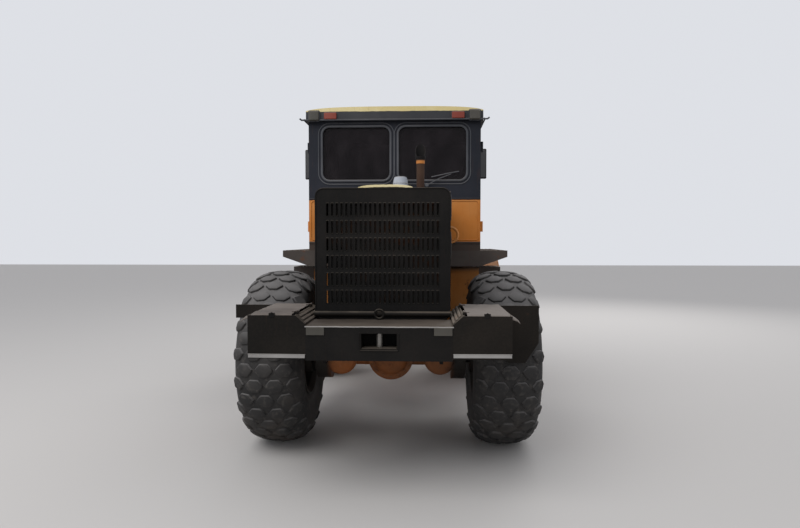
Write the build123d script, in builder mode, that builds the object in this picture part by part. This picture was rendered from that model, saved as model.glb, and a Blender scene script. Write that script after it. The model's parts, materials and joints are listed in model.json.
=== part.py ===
from build123d import *
import os
from math import asin, atan2, cos, degrees, radians, sin

# Articulated front loader, in millimetres: +Y forwards, +X to the machine's right, ground at Z = 0.
# The origin is on the ground under the middle of the machine's overall length.

# Overall layout
wheelbase = 2850.0
rear_overhang = 1450.0  # rear axle to the rearmost face
bucket_reach = 2600.0  # front axle to the tips of the bucket's teeth
overall_length = rear_overhang + wheelbase + bucket_reach
rear_face_y = -overall_length / 2
rear_axle_y = rear_face_y + rear_overhang
front_axle_y = rear_axle_y + wheelbase
hinge_y = rear_axle_y + wheelbase / 2

# Clearances
pin_clearance = 0.4  # radial, round pins and shafts that turn
seat_clearance = 0.3  # between faces that rest against each other
moving_gap = 6.0  # between plates that pass each other

# Wheels
tyre_diameter = 1490.0
tyre_width = 540.0
tyre_gap = 8.0  # between a tyre and the nearest fixed plate
tread_sides = 24
tread_crown_x = 195.0  # half width of the flat crown
tread_shoulder_drop = 28.0
pad_height = 22.0
pad_radius = 62.0
pad_x = 112.0
wheel_track = 1900.0
rim_radius = 318.0
rim_width = 470.0
rim_wall = 33.0
disc_offset = 60.0
disc_thickness = 28.0
hub_radius = 150.0
hub_inner = 265.0  # hub's reach inwards from the wheel's centre plane
hub_outer = 175.0  # and outwards
axle_z = tyre_diameter / 2
wheel_x = wheel_track / 2

# Axles
axle_tube_radius = 85.0
differential_radius = 193.0
differential_length = 250.0
brake_radius = 200.0
brake_inner_x = 520.0
brake_outer_x = 640.0
spindle_radius = 60.0
chamber_radius = 128.0
chamber_x = 420.0
chamber_length = 150.0
shaft_radius = 40.0
joint_ball_radius = 58.0

# Rear frame
rail_inner_x = 400.0
rail_thickness = 25.0
rail_outer_x = rail_inner_x + rail_thickness
rail_bottom_z = axle_z + 135.0
deck_z = axle_z + 445.0  # top of the rails and of the rear beam
beam_half_width = 480.0
beam_bottom_z = axle_z + 222.0
beam_length = 350.0
lamp_proud = 6.0
beam_rear_y = rear_face_y + lamp_proud
beam_front_y = beam_rear_y + beam_length
cross_plate_y = hinge_y - 560.0
plate_thickness = 30.0
hinge_plate_thickness = 35.0
hinge_nose_radius = 110.0
hinge_pin_radius = 45.0
upper_plate_z = axle_z + 295.0
lower_plate_z = axle_z - 145.0
engine_bearer_z = axle_z + 255.0

# Tow pocket in the rear beam
pocket_width = 232.0
pocket_bottom_z = axle_z + 298.0
pocket_top_z = axle_z + 401.0
pocket_depth = 160.0
tow_pin_radius = 20.0
tow_pin_inset = 70.0

# Side boxes
box_width = 380.0
box_bottom_z = axle_z + 235.0
box_rim_z = axle_z + 517.0
box_wall = 8.0
lid_thickness = 12.0
lid_overhang = 6.0
lid_hinge_radius = 9.0
lid_pin_radius = 5.0
box_rear_y = rear_face_y + lamp_proud
box_front_y = rear_axle_y - tyre_diameter / 2 - tyre_gap
box_shoulder_x = 66.0  # sloping shoulder beside the beam: width and drop
box_shoulder_z = 58.0
lid_edge_x = beam_half_width + box_shoulder_x
mudguard_outer_x = 1150.0
mudguard_bottom_z = axle_z + 85.0
short_mudguard_bottom_z = axle_z + 415.0
mudguard_thickness = 8.0

# Radiator guard and engine hood
guard_half_width = 475.0
guard_top_z = axle_z + 1373.0
guard_depth = 60.0
guard_rear_y = beam_rear_y + 330.0
guard_front_y = guard_rear_y + guard_depth
guard_border = 50.0
guard_sheet = 12.0
guard_corner = 60.0
slot_width = 15.0
slot_height = 88.0
slot_columns = 24
slot_rows = 6
slot_pitch_x = 33.5
slot_pitch_z = 122.0
slot_centre_z = axle_z + 915.0
guard_tube_radius = 18.0
guard_tube_z = axle_z + 493.0
radiator_half_width = 400.0
radiator_top_z = axle_z + 1305.0
radiator_depth = 90.0
hood_wall = 20.0
hood_skirt_z = axle_z + 815.0
engine_half_width = 310.0
engine_length = 920.0
engine_front_y = rear_axle_y + 120.0
engine_rear_y = engine_front_y - engine_length
engine_top_z = axle_z + 1005.0
exhaust_x = 257.0
exhaust_y = rear_axle_y - 380.0
exhaust_radius = 32.0
exhaust_mouth_radius = 42.0
exhaust_mouth_length = 140.0
exhaust_wall = 4.0
exhaust_top_z = axle_z + 1800.0
exhaust_hole_clearance = 8.0
intake_x = 95.0
intake_radius = 70.0
intake_height = 137.0

# Cab, standing on the platform of the rear frame
cab_half_width = 815.0
cab_setback = 450.0  # rear axle to the cab's rear wall
cab_length = 1400.0
cab_rear_y = rear_axle_y + cab_setback
cab_front_y = cab_rear_y + cab_length
cab_wall = 45.0
platform_half_width = 1070.0
platform_bottom_z = axle_z + 765.0
platform_edge_z = axle_z + 855.0
floor_z = axle_z + 915.0
floor_thickness = 60.0
eaves_z = axle_z + 2140.0
roof_side_z = axle_z + 2260.0
roof_lamp_top_z = axle_z + 2215.0
roof_crown_z = axle_z + 2305.0
roof_thickness = 60.0
roof_lining = 25.0  # rise of the hollow's sides above the eaves
roof_overhang_x = 30.0
roof_overhang_rear = 40.0
roof_overhang_front = 60.0
pillar_half_width = 38.0
rear_window_width = 646.0
rear_window_bottom_z = axle_z + 1580.0
side_window_bottom_z = axle_z + 1205.0
window_top_z = axle_z + 2085.0
window_corner = 70.0
windscreen_half_width = 730.0
glass_thickness = 8.0
door_rear_y = cab_rear_y + 110.0
door_length = 830.0
door_front_y = door_rear_y + door_length
door_bottom_z = axle_z + 945.0
door_top_z = axle_z + 2105.0
door_border = 75.0
door_window_bottom_z = axle_z + 1375.0
door_hinge_x = cab_half_width + 18.0
door_hinge_radius = 14.0
door_pin_radius = 7.0
door_hinge_height = 50.0
quarter_window_gap = 60.0

# Tanks and ladders under the platform
tank_outer_x = 830.0
tank_rear_y = rear_axle_y + tyre_diameter / 2 + 40.0
tank_length = 560.0
tank_bottom_z = axle_z - 45.0
tank_top_z = axle_z + 735.0
ladder_outer_x = 1050.0
ladder_length = 350.0
ladder_bottom_z = axle_z - 295.0
step_thickness = 30.0
step_count = 4

# Front frame with its tower
side_plate_x = 275.0
side_plate_thickness = 25.0
front_box_y = hinge_y + 325.0
front_frame_front_y = front_axle_y + 330.0
front_rail_bottom_z = axle_z + 115.0
boom_pivot_y = front_axle_y - 325.0
boom_pivot_z = axle_z + 1005.0
tower_radius = 140.0
lifting_eye_y = boom_pivot_y - 125.0
lifting_eye_z = boom_pivot_z - 190.0
boom_pin_radius = 45.0

# Holes for a shackle's pin: tie-downs in the rear rails, lifting eyes in the tower
tie_radius = 25.0
rear_tie_y = beam_front_y + 110.0
rear_tie_z = rail_bottom_z + 50.0

# Boom, crank and link
boom_arm_x = 330.0  # inner face of an arm
boom_arm_thickness = 70.0
bucket_pivot_y = front_axle_y + 1500.0
bucket_pivot_z = 350.0
knee_along = 1250.0  # boom pivot to the knee
knee_angle = -33.0
boom_eye_radius = 105.0
knee_radius = 145.0
nose_radius = 92.0
cross_tube_radius = 80.0
crank_along = 1150.0  # along the line from the boom's pivot to the bucket's
crank_rise = 280.0  # and square to it
crank_plate_x = 40.0
crank_plate_thickness = 22.0
crank_pin_radius = 45.0
crank_hub_radius = 92.0
crank_barrel_radius = 74.0
crank_cap_radius = 100.0
crank_cap_thickness = 27.0
lever_link = 400.0
lever_link_angle = 84.0
lever_cylinder = 260.0
lever_cylinder_angle = 115.0
bracket_x = crank_plate_x + crank_plate_thickness + 12.0
bracket_thickness = 25.0
link_half_width = 32.0
link_half_height = 35.0
link_eye_radius = 52.0
link_pin_radius = 28.0
link_cap_radius = 85.0
link_cap_thickness = 24.0

# Bucket
bucket_half_width = 1230.0
bucket_plate = 25.0
bucket_clear_z = 22.0  # lowest edge above the ground
bucket_heel_y = bucket_pivot_y + 290.0
bucket_back_y = bucket_pivot_y + 115.0
bucket_heel_z = 260.0
bucket_shoulder_y = bucket_pivot_y + 140.0
bucket_shoulder_z = 900.0
bucket_top_y = bucket_pivot_y + 330.0
bucket_top_z = 1180.0
tooth_count = 8
tooth_width = 75.0
tooth_length = 240.0
tooth_overlap = 120.0
tooth_height = 48.0
ear_thickness = 28.0
ear_radius = 85.0
bucket_pin_radius = 35.0
bucket_tube_radius = 58.0
bucket_collar_radius = 78.0
bucket_collar_x = 70.0

# Cylinders
lift_base_y = front_axle_y - 750.0
lift_base_z = axle_z + 205.0
lift_eye_along = 1050.0
lift_eye_angle = -35.0
lift_x = 500.0
lift_barrel_radius = 65.0
lift_barrel_length = 940.0
lift_rod_radius = 32.0
lift_rod_inside = 700.0
tilt_barrel_radius = 68.0
tilt_barrel_length = 760.0
tilt_rod_radius = 30.0
tilt_rod_inside = 380.0
tilt_bracket_x = 52.0
tilt_bracket_thickness = 22.0
steer_base_x = 260.0
steer_base_back = 450.0
steer_eye_x = 240.0
steer_eye_forward = 240.0
steer_z = axle_z + 85.0
steer_barrel_radius = 42.0
steer_barrel_length = 435.0
steer_rod_radius = 20.0
steer_rod_inside = 182.0
steer_pin_radius = 20.0
cylinder_eye_half_width = 40.0
cylinder_neck_length = 140.0

# Fenders, lamps and mirrors
fender_gap = 70.0
fender_radius = tyre_diameter / 2 + fender_gap
fender_thickness = 10.0
fender_inner_x = 660.0
fender_outer_x = 1215.0
fender_start_angle = 80.0
fender_end_z = lift_base_z + 2 * 35.0 + 30.0  # clear of the lift cylinders' feet
fender_end_angle = 180.0 - degrees(asin((fender_end_z - axle_z) / fender_radius))
headlamp_x = 900.0
headlamp_radius = 80.0
headlamp_gap = 50.0
headlamp_z = axle_z + fender_radius + fender_thickness + headlamp_gap + headlamp_radius
left_mirror_out = 240.0  # from the cab's side
right_mirror_out = 120.0
mirror_width = 130.0
mirror_height = 350.0
mirror_z = axle_z + 1905.0

lip = 20.0  # small overlap that joins members of one welded piece


def direction(angle):
    """Unit vector in the Y-Z plane, its angle measured from +Y towards +Z."""
    return Vector(0, cos(radians(angle)), sin(radians(angle)))


boom_pivot = Vector(0, boom_pivot_y, boom_pivot_z)
bucket_pivot = Vector(0, bucket_pivot_y, bucket_pivot_z)
boom_angle = degrees(atan2(bucket_pivot.Z - boom_pivot.Z, bucket_pivot.Y - boom_pivot.Y))
knee = boom_pivot + direction(knee_angle) * knee_along
crank_pivot = boom_pivot + direction(boom_angle) * crank_along + direction(boom_angle + 90) * crank_rise
link_arm = direction(lever_link_angle) * lever_link
cylinder_arm = direction(lever_cylinder_angle) * lever_cylinder
crank_link_eye = crank_pivot + link_arm
crank_cylinder_eye = crank_pivot + cylinder_arm
bucket_link_eye = bucket_pivot + link_arm
tilt_base = boom_pivot + cylinder_arm
lift_base = Vector(0, lift_base_y, lift_base_z)
lift_eye = boom_pivot + direction(lift_eye_angle) * lift_eye_along


def write(piece, node):
    """Label a finished piece and write its STEP file."""
    piece.part.label = node
    export_step(piece.part, f"parts/{node}.step")


def block(x_range, y_range, z_range, mode=Mode.ADD):
    """Box between two values on each axis."""
    sizes = [high - low for low, high in (x_range, y_range, z_range)]
    middle = [(high + low) / 2 for low, high in (x_range, y_range, z_range)]
    with Locations(tuple(middle)):
        Box(*sizes, mode=mode)


def bar_x(x_range, y, z, radius, mode=Mode.ADD):
    """Round bar along X."""
    with Locations(Location(((x_range[0] + x_range[1]) / 2, y, z), (0, 90, 0))):
        Cylinder(radius, abs(x_range[1] - x_range[0]), mode=mode)


def bar_y(y_range, x, z, radius, mode=Mode.ADD):
    """Round bar along Y."""
    with Locations(Location((x, (y_range[0] + y_range[1]) / 2, z), (90, 0, 0))):
        Cylinder(radius, abs(y_range[1] - y_range[0]), mode=mode)


def bar_z(z_range, x, y, radius, mode=Mode.ADD):
    """Round bar along Z."""
    with Locations((x, y, (z_range[0] + z_range[1]) / 2)):
        Cylinder(radius, abs(z_range[1] - z_range[0]), mode=mode)


def bar_along(start, heading, length, radius, mode=Mode.ADD):
    """Round bar from a point along a heading."""
    plane = Plane(origin=start + heading * (length / 2), z_dir=heading)
    with Locations(plane.location):
        Cylinder(radius, length, mode=mode)


def hull_face(x, circles):
    """Face on the plane at x: the hull of circles given as (centre, radius)."""
    with BuildSketch(Plane.YZ.offset(x)) as face:
        for centre, radius in circles:
            with Locations((centre.Y, centre.Z)):
                Circle(radius)
        make_hull()
    return face.sketch


def both_sides(x_range):
    """The same span of X on the left and on the right."""
    return ((x_range[0], x_range[1]), (-x_range[1], -x_range[0]))


os.makedirs("parts", exist_ok=True)

# Tyres and rims: node ending, side of the machine, axle
wheels = [
    ("rear_left", -1, rear_axle_y),
    ("rear_right", 1, rear_axle_y),
    ("front_left", -1, front_axle_y),
    ("front_right", 1, front_axle_y),
]
# Rings of the tyre's section: distance from the centre plane, distance of the flats from the axle
crown_radius = tyre_diameter / 2 - pad_height
tyre_rings = [
    (-rim_width / 2, rim_radius + 30),
    (-tyre_width / 2, 0.70 * tyre_diameter / 2),
    (-tyre_width / 2 + tread_shoulder_drop, crown_radius - tread_shoulder_drop),
    (-tread_crown_x, crown_radius),
    (tread_crown_x, crown_radius),
    (tyre_width / 2 - tread_shoulder_drop, crown_radius - tread_shoulder_drop),
    (tyre_width / 2, 0.70 * tyre_diameter / 2),
    (rim_width / 2, rim_radius + 30),
]
tread_step = 360.0 / tread_sides
with BuildPart() as tread:
    for ring_x, flat_radius in tyre_rings:
        with BuildSketch(Plane.YZ.offset(ring_x)):
            RegularPolygon(flat_radius, tread_sides, major_radius=False, rotation=tread_step / 2)
    loft(ruled=True)
    bar_x((-tyre_width, tyre_width), 0, 0, rim_radius + seat_clearance, mode=Mode.SUBTRACT)
    pad_planes = []
    for row in range(tread_sides):
        outwards = direction(row * tread_step)
        for x in (-pad_x, pad_x) if row % 2 == 0 else (0,):
            pad_foot = Vector(x, 0, 0) + outwards * (crown_radius - 2)
            pad_planes.append(Plane(origin=pad_foot, x_dir=(1, 0, 0), z_dir=outwards))
    with BuildSketch(*pad_planes):
        RegularPolygon(pad_radius, 6)
    extrude(amount=pad_height + 2)
for ending, side, axle_y in wheels:
    centre_x = side * wheel_x
    with BuildPart() as tyre:
        with Locations((centre_x, axle_y, axle_z)):
            add(tread.part)
    write(tyre, f"tyre_{ending}")

    with BuildPart() as rim:
        barrel_x = (centre_x - rim_width / 2, centre_x + rim_width / 2)
        bar_x(barrel_x, axle_y, axle_z, rim_radius)
        bar_x(barrel_x, axle_y, axle_z, rim_radius - rim_wall, mode=Mode.SUBTRACT)
        disc_x = sorted(centre_x + side * (disc_offset + share) for share in (0, disc_thickness))
        bar_x(disc_x, axle_y, axle_z, rim_radius - rim_wall + 1)
        hub_x = sorted((centre_x - side * hub_inner, centre_x + side * hub_outer))
        bar_x(hub_x, axle_y, axle_z, hub_radius)
        bore_x = sorted((centre_x - side * (hub_inner + 1), centre_x + side * disc_offset))
        bar_x(bore_x, axle_y, axle_z, spindle_radius + pin_clearance, mode=Mode.SUBTRACT)
    write(rim, f"rim_{ending}")

# Axles: node, axle, side of the differential's nose, inner face and top of its saddles
saddle_half_length = 90.0
nose_radius_shaft = 95.0
nose_length = 260.0
axles = [
    ("rear_axle", rear_axle_y, 1, rail_inner_x - 10, rail_outer_x + 20, rail_bottom_z),
    (
        "front_axle",
        front_axle_y,
        -1,
        side_plate_x - 15,
        side_plate_x + side_plate_thickness + 15,
        front_rail_bottom_z,
    ),
]
spindle_end_x = wheel_x + disc_offset - 4.0
for node, axle_y, nose_side, saddle_inner, saddle_outer, saddle_top in axles:
    with BuildPart() as axle:
        bar_x((-brake_inner_x, brake_inner_x), axle_y, axle_z, axle_tube_radius)
        half_length = differential_length / 2
        bar_y((axle_y - half_length, axle_y + half_length), 0, axle_z, differential_radius)
        nose_y = sorted((axle_y, axle_y + nose_side * (half_length + nose_length)))
        bar_y(nose_y, 0, axle_z, nose_radius_shaft)
        for x_range in both_sides((brake_inner_x, brake_outer_x)):
            bar_x(x_range, axle_y, axle_z, brake_radius)
        bar_x((-spindle_end_x, spindle_end_x), axle_y, axle_z, spindle_radius)
        for x_range in both_sides((saddle_inner, saddle_outer)):
            block(x_range, (axle_y - saddle_half_length, axle_y + saddle_half_length), (axle_z, saddle_top))
        if node == "rear_axle":
            chamber_front_y = axle_y - axle_tube_radius + lip
            for x in (-chamber_x, chamber_x):
                bar_y((chamber_front_y - chamber_length, chamber_front_y), x, axle_z, chamber_radius)
        else:
            shaft_start_y = hinge_y + joint_ball_radius + moving_gap
            bar_y((shaft_start_y, axle_y - half_length), 0, axle_z, shaft_radius)
    write(axle, node)

# Rear beam with its tow pocket and pin, and the deep lip of its deck
with BuildPart() as counterweight:
    block((-beam_half_width, beam_half_width), (beam_rear_y, beam_front_y), (beam_bottom_z, deck_z))
    block(
        (-pocket_width / 2, pocket_width / 2),
        (beam_rear_y - 1, beam_rear_y + pocket_depth),
        (pocket_bottom_z, pocket_top_z),
        mode=Mode.SUBTRACT,
    )
    bar_z((pocket_bottom_z - lip, pocket_top_z + lip), 0, beam_rear_y + tow_pin_inset, tow_pin_radius)
write(counterweight, "counterweight")

# Rails of the rear half with the posts under the cab, and the bore of the tie-down
rear_bearer_length = 200.0
bearer_ys = (rear_axle_y - 700.0, rear_axle_y + 20.0)
bearer_length = 90.0
steer_lug_thickness = 20.0
hinge_plate_taper = 300.0
steer_lug_inner = cylinder_eye_half_width + pin_clearance
steer_base_y = hinge_y - steer_base_back
for side, name in ((-1, "left"), (1, "right")):
    rail_x = sorted((side * rail_inner_x, side * rail_outer_x))
    with BuildPart() as rear_rail:
        block(rail_x, (beam_front_y, cross_plate_y + plate_thickness), (rail_bottom_z, deck_z))
        for post_y in (cab_rear_y + cab_wall, cross_plate_y - 70):
            block(rail_x, (post_y, post_y + 100), (deck_z - lip, floor_z - floor_thickness))
        bar_x((rail_x[0] - 1, rail_x[1] + 1), rear_tie_y, rear_tie_z, tie_radius, mode=Mode.SUBTRACT)
    write(rear_rail, f"rear_rail_{name}")

# Rear frame between the rails: bearers, cross plate, hinge plates with their pins, steering brackets
with BuildPart() as rear_frame:
    between_rails = (-rail_inner_x, rail_inner_x)
    block(between_rails, (beam_front_y, beam_front_y + rear_bearer_length), (engine_bearer_z, deck_z))
    for bearer_y in bearer_ys:
        block(between_rails, (bearer_y, bearer_y + bearer_length), (engine_bearer_z - 60, engine_bearer_z))
    cross_plate_z = (lower_plate_z, deck_z)
    block(between_rails, (cross_plate_y, cross_plate_y + plate_thickness), cross_plate_z)
    bar_y(
        (cross_plate_y - 1, cross_plate_y + plate_thickness + 1),
        0,
        axle_z,
        2 * shaft_radius,
        mode=Mode.SUBTRACT,
    )
    for plate_z in (upper_plate_z, lower_plate_z):
        with BuildSketch(Plane.XY.offset(plate_z)):
            with Locations((0, hinge_y)):
                Circle(hinge_nose_radius)
            with Locations((0, cross_plate_y + plate_thickness / 2)):
                Rectangle(2 * rail_inner_x - hinge_plate_taper, plate_thickness)
            make_hull()
        extrude(amount=hinge_plate_thickness)
    pin_reach = hinge_plate_thickness + moving_gap + 8.0
    bar_z((upper_plate_z, upper_plate_z + hinge_plate_thickness + pin_reach), 0, hinge_y, hinge_pin_radius)
    bar_z((lower_plate_z - pin_reach, lower_plate_z + hinge_plate_thickness), 0, hinge_y, hinge_pin_radius)
    for x in (-steer_base_x, steer_base_x):
        for low_z in (steer_z - steer_lug_inner - steer_lug_thickness, steer_z + steer_lug_inner):
            block(
                (x - 45, x + 45),
                (cross_plate_y + plate_thickness - 1, steer_base_y + 45),
                (low_z, low_z + steer_lug_thickness),
            )
        lug_reach = steer_lug_inner + steer_lug_thickness
        bar_z((steer_z - lug_reach, steer_z + lug_reach), x, steer_base_y, steer_pin_radius)
write(rear_frame, "rear_frame")

# Gearbox with the drive shafts of the rear half
gearbox_rear_y = rear_axle_y + 560.0
gearbox_front_y = cross_plate_y - 40.0
gearbox_top_z = axle_z + 365.0
with BuildPart() as gearbox:
    block(
        (-rail_inner_x, rail_inner_x),
        (gearbox_rear_y, gearbox_rear_y + 120),
        (gearbox_top_z - 100, gearbox_top_z),
    )
    block((-210, 210), (gearbox_rear_y, gearbox_front_y), (axle_z - 125, gearbox_top_z))
    bar_y((rear_axle_y + differential_length / 2 + nose_length, gearbox_rear_y), 0, axle_z, shaft_radius)
    bar_y((gearbox_front_y, hinge_y), 0, axle_z, shaft_radius)
    with Locations((0, hinge_y, axle_z)):
        Sphere(joint_ball_radius)
write(gearbox, "gearbox")

# Side boxes with their lids and mudguards: side of the machine, name, bottom of the upright mudguard
for side, name, guard_bottom_z in ((-1, "left", short_mudguard_bottom_z), (1, "right", box_bottom_z)):
    inner_x = side * beam_half_width
    outer_x = inner_x + side * box_width
    edge_x = side * lid_edge_x
    hinge_x = edge_x + side * (lid_hinge_radius + 2)
    box_y = (box_rear_y, box_front_y)
    box_outline = [
        (inner_x, box_bottom_z),
        (outer_x, box_bottom_z),
        (outer_x, box_rim_z),
        (edge_x, box_rim_z),
        (inner_x, box_rim_z - box_shoulder_z),
    ]
    with BuildPart() as side_box:
        with BuildSketch(Plane.XZ.offset(-box_y[1])):
            with BuildLine():
                Polyline(*box_outline, close=True)
            make_face()
        extrude(amount=box_y[1] - box_y[0])
        with BuildSketch(Plane.XZ.offset(-box_y[1] + box_wall)) as hollow:
            with BuildLine():
                Polyline(*box_outline, close=True)
            make_face()
            offset(amount=-box_wall, kind=Kind.INTERSECTION)
        extrude(amount=box_y[1] - box_y[0] - 2 * box_wall, mode=Mode.SUBTRACT)
        block(
            sorted((edge_x + side * box_wall, outer_x - side * box_wall)),
            (box_y[0] + box_wall, box_y[1] - box_wall),
            (box_rim_z - 2 * box_wall, box_rim_z + 1),
            mode=Mode.SUBTRACT,
        )
        hinge_z = box_rim_z + lid_thickness
        for low_y in (box_y[0] + 60, box_y[1] - 160):
            block(
                sorted((edge_x, edge_x + side * box_wall)),
                (low_y, low_y + 50),
                (box_rim_z - box_wall, hinge_z),
            )
            bar_y((low_y, low_y + 50), hinge_x, hinge_z, lid_hinge_radius)
            bar_y((low_y, low_y + 100), hinge_x, hinge_z, lid_pin_radius)
        block(
            sorted((outer_x - side * box_wall, side * mudguard_outer_x)),
            (box_y[1] - mudguard_thickness, box_y[1]),
            (guard_bottom_z, box_rim_z),
        )
        if guard_bottom_z == box_bottom_z:
            with BuildSketch(Plane.XZ.offset(-box_y[1])):
                with BuildLine():
                    Polyline(
                        (outer_x, box_bottom_z + 1),
                        (side * mudguard_outer_x, box_bottom_z + 1),
                        (outer_x + side * 190, mudguard_bottom_z),
                        (outer_x + side * 60, mudguard_bottom_z),
                        close=True,
                    )
                make_face()
            extrude(amount=mudguard_thickness)
    write(side_box, f"side_box_{name}")

    with BuildPart() as lid:
        lid_inner_x = hinge_x + side * (lid_hinge_radius + 3)
        block(
            sorted((lid_inner_x, outer_x + side * lid_overhang)),
            (box_y[0], box_y[1] + lid_overhang),
            (box_rim_z + seat_clearance, box_rim_z + lid_thickness),
        )
        for low_y in (box_y[0] + 60, box_y[1] - 160):
            knuckle_y = (low_y + 51, low_y + 100)
            block(
                sorted((hinge_x, lid_inner_x + side * lip)),
                knuckle_y,
                (hinge_z - 4, hinge_z + 4),
            )
            bar_y(knuckle_y, hinge_x, hinge_z, lid_hinge_radius)
            bar_y(knuckle_y, hinge_x, hinge_z, lid_pin_radius + pin_clearance, mode=Mode.SUBTRACT)
    write(lid, f"box_lid_{name}")

# Radiator guard: a frame with a slotted sheet and a tube along its foot
with BuildPart() as radiator_guard:
    with BuildSketch(Plane.XZ.offset(-guard_front_y)) as guard_face:
        with Locations((0, (deck_z + guard_top_z) / 2)):
            Rectangle(2 * guard_half_width, guard_top_z - deck_z)
        fillet(guard_face.vertices().group_by(Axis.Z)[-1], guard_corner)
    extrude(amount=guard_depth)
    block(
        (-guard_half_width + guard_border, guard_half_width - guard_border),
        (guard_rear_y + guard_sheet, guard_front_y + 1),
        (deck_z + guard_border, guard_top_z - guard_border),
        mode=Mode.SUBTRACT,
    )
    with BuildSketch(Plane.XZ.offset(-guard_front_y)):
        with Locations((0, slot_centre_z)):
            with GridLocations(slot_pitch_x, slot_pitch_z, slot_columns, slot_rows):
                Rectangle(slot_width, slot_height)
    extrude(amount=guard_depth + 1, mode=Mode.SUBTRACT)
    tube_y = guard_rear_y - guard_tube_radius + 3
    bar_x((-guard_half_width, guard_half_width), tube_y, guard_tube_z, guard_tube_radius)
write(radiator_guard, "radiator_guard")

# Engine block with the radiator at its rear
with BuildPart() as engine:
    block(
        (-engine_half_width, engine_half_width),
        (engine_rear_y, engine_front_y),
        (engine_bearer_z, engine_top_z),
    )
    radiator_y = beam_front_y + 80.0
    block(
        (-radiator_half_width, radiator_half_width),
        (radiator_y, radiator_y + radiator_depth),
        (deck_z, radiator_top_z),
    )
write(engine, "engine")

# Engine hood with the intake cap on it
hood_front_y = cab_rear_y - 10.0
with BuildPart() as engine_hood:
    with BuildSketch(Plane.XZ.offset(-hood_front_y)) as hood_face:
        with Locations((0, (hood_skirt_z + guard_top_z) / 2)):
            Rectangle(2 * guard_half_width, guard_top_z - hood_skirt_z)
        fillet(hood_face.vertices().group_by(Axis.Z)[-1], guard_corner)
        inside_width = guard_half_width - hood_wall
        with Locations((0, (hood_skirt_z + guard_top_z - hood_wall) / 2)):
            Rectangle(2 * inside_width, guard_top_z - hood_wall - hood_skirt_z, mode=Mode.SUBTRACT)
    extrude(amount=hood_front_y - guard_front_y)
    bar_z(
        (guard_top_z - 2 * hood_wall, guard_top_z + 1),
        exhaust_x,
        exhaust_y,
        exhaust_radius + exhaust_hole_clearance,
        mode=Mode.SUBTRACT,
    )
    with Locations((intake_x, exhaust_y, guard_top_z + intake_height / 2 - 1)):
        Cone(intake_radius, 0.75 * intake_radius, intake_height)
write(engine_hood, "engine_hood")

# Exhaust pipe, cut on the slant at its top
with BuildPart() as exhaust_pipe:
    bar_z((engine_top_z, exhaust_top_z), exhaust_x, exhaust_y, exhaust_radius)
    mouth_z = (exhaust_top_z - exhaust_mouth_length, exhaust_top_z)
    bar_z(mouth_z, exhaust_x, exhaust_y, exhaust_mouth_radius)
    hollow_z = (mouth_z[0] + exhaust_wall, mouth_z[1] + 1)
    hollow_radius = exhaust_mouth_radius - exhaust_wall
    bar_z(hollow_z, exhaust_x, exhaust_y, hollow_radius, mode=Mode.SUBTRACT)
    bar_z(
        (engine_top_z + 10, exhaust_top_z + 1),
        exhaust_x,
        exhaust_y,
        exhaust_radius - exhaust_wall,
        mode=Mode.SUBTRACT,
    )
    slant_origin = (exhaust_x, exhaust_y, exhaust_top_z - exhaust_mouth_radius)
    slant = Plane(origin=slant_origin, z_dir=(0, -0.7, 0.7))
    split(bisect_by=slant, keep=Keep.BOTTOM)
write(exhaust_pipe, "exhaust_pipe")

# Platform that carries the cab, with its side wings
with BuildPart() as platform:
    with BuildSketch(Plane.XZ.offset(-cab_front_y)):
        with BuildLine():
            Polyline(
                (-platform_half_width, platform_edge_z),
                (-cab_half_width, platform_bottom_z),
                (-cab_half_width + cab_wall, platform_bottom_z),
                (-cab_half_width + cab_wall, floor_z - floor_thickness),
                (cab_half_width - cab_wall, floor_z - floor_thickness),
                (cab_half_width - cab_wall, platform_bottom_z),
                (cab_half_width, platform_bottom_z),
                (platform_half_width, platform_edge_z),
                (platform_half_width, floor_z),
                (-platform_half_width, floor_z),
                close=True,
            )
        make_face()
    extrude(amount=cab_front_y - cab_rear_y)
    for skirt_y in ((cab_rear_y, cab_rear_y + cab_wall), (cab_front_y - cab_wall, cab_front_y)):
        block((-cab_half_width, cab_half_width), skirt_y, (platform_bottom_z, floor_z))
write(platform, "platform")

# Cab walls, with their window and door openings
wall_top_z = eaves_z


def window(plane, centre, width, height, corner):
    """Rounded window outline on a plane."""
    with BuildSketch(plane) as face:
        with Locations(centre):
            RectangleRounded(width, height, corner)
    return face.sketch


rear_window_x = pillar_half_width + rear_window_width / 2
rear_window_height = window_top_z - rear_window_bottom_z
rear_window_z = (window_top_z + rear_window_bottom_z) / 2
side_window_height = window_top_z - side_window_bottom_z
side_window_z = (window_top_z + side_window_bottom_z) / 2
windscreen_width = 2 * windscreen_half_width
quarter_rear_y = door_front_y + quarter_window_gap
quarter_front_y = cab_front_y - cab_wall - quarter_window_gap
quarter_width = quarter_front_y - quarter_rear_y
quarter_y = (quarter_rear_y + quarter_front_y) / 2
rear_plane = Plane.XZ.offset(-(cab_rear_y + cab_wall))
front_plane = Plane.XZ.offset(-cab_front_y)

with BuildPart() as cab_rear_wall:
    block((-cab_half_width, cab_half_width), (cab_rear_y, cab_rear_y + cab_wall), (floor_z, wall_top_z))
    for x in (-rear_window_x, rear_window_x):
        opening = window(rear_plane, (x, rear_window_z), rear_window_width, rear_window_height, window_corner)
        extrude(opening, amount=cab_wall, mode=Mode.SUBTRACT)
write(cab_rear_wall, "cab_rear_wall")

with BuildPart() as cab_front_wall:
    block((-cab_half_width, cab_half_width), (cab_front_y - cab_wall, cab_front_y), (floor_z, wall_top_z))
    opening = window(front_plane, (0, side_window_z), windscreen_width, side_window_height, window_corner)
    extrude(opening, amount=cab_wall, mode=Mode.SUBTRACT)
write(cab_front_wall, "cab_front_wall")

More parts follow.
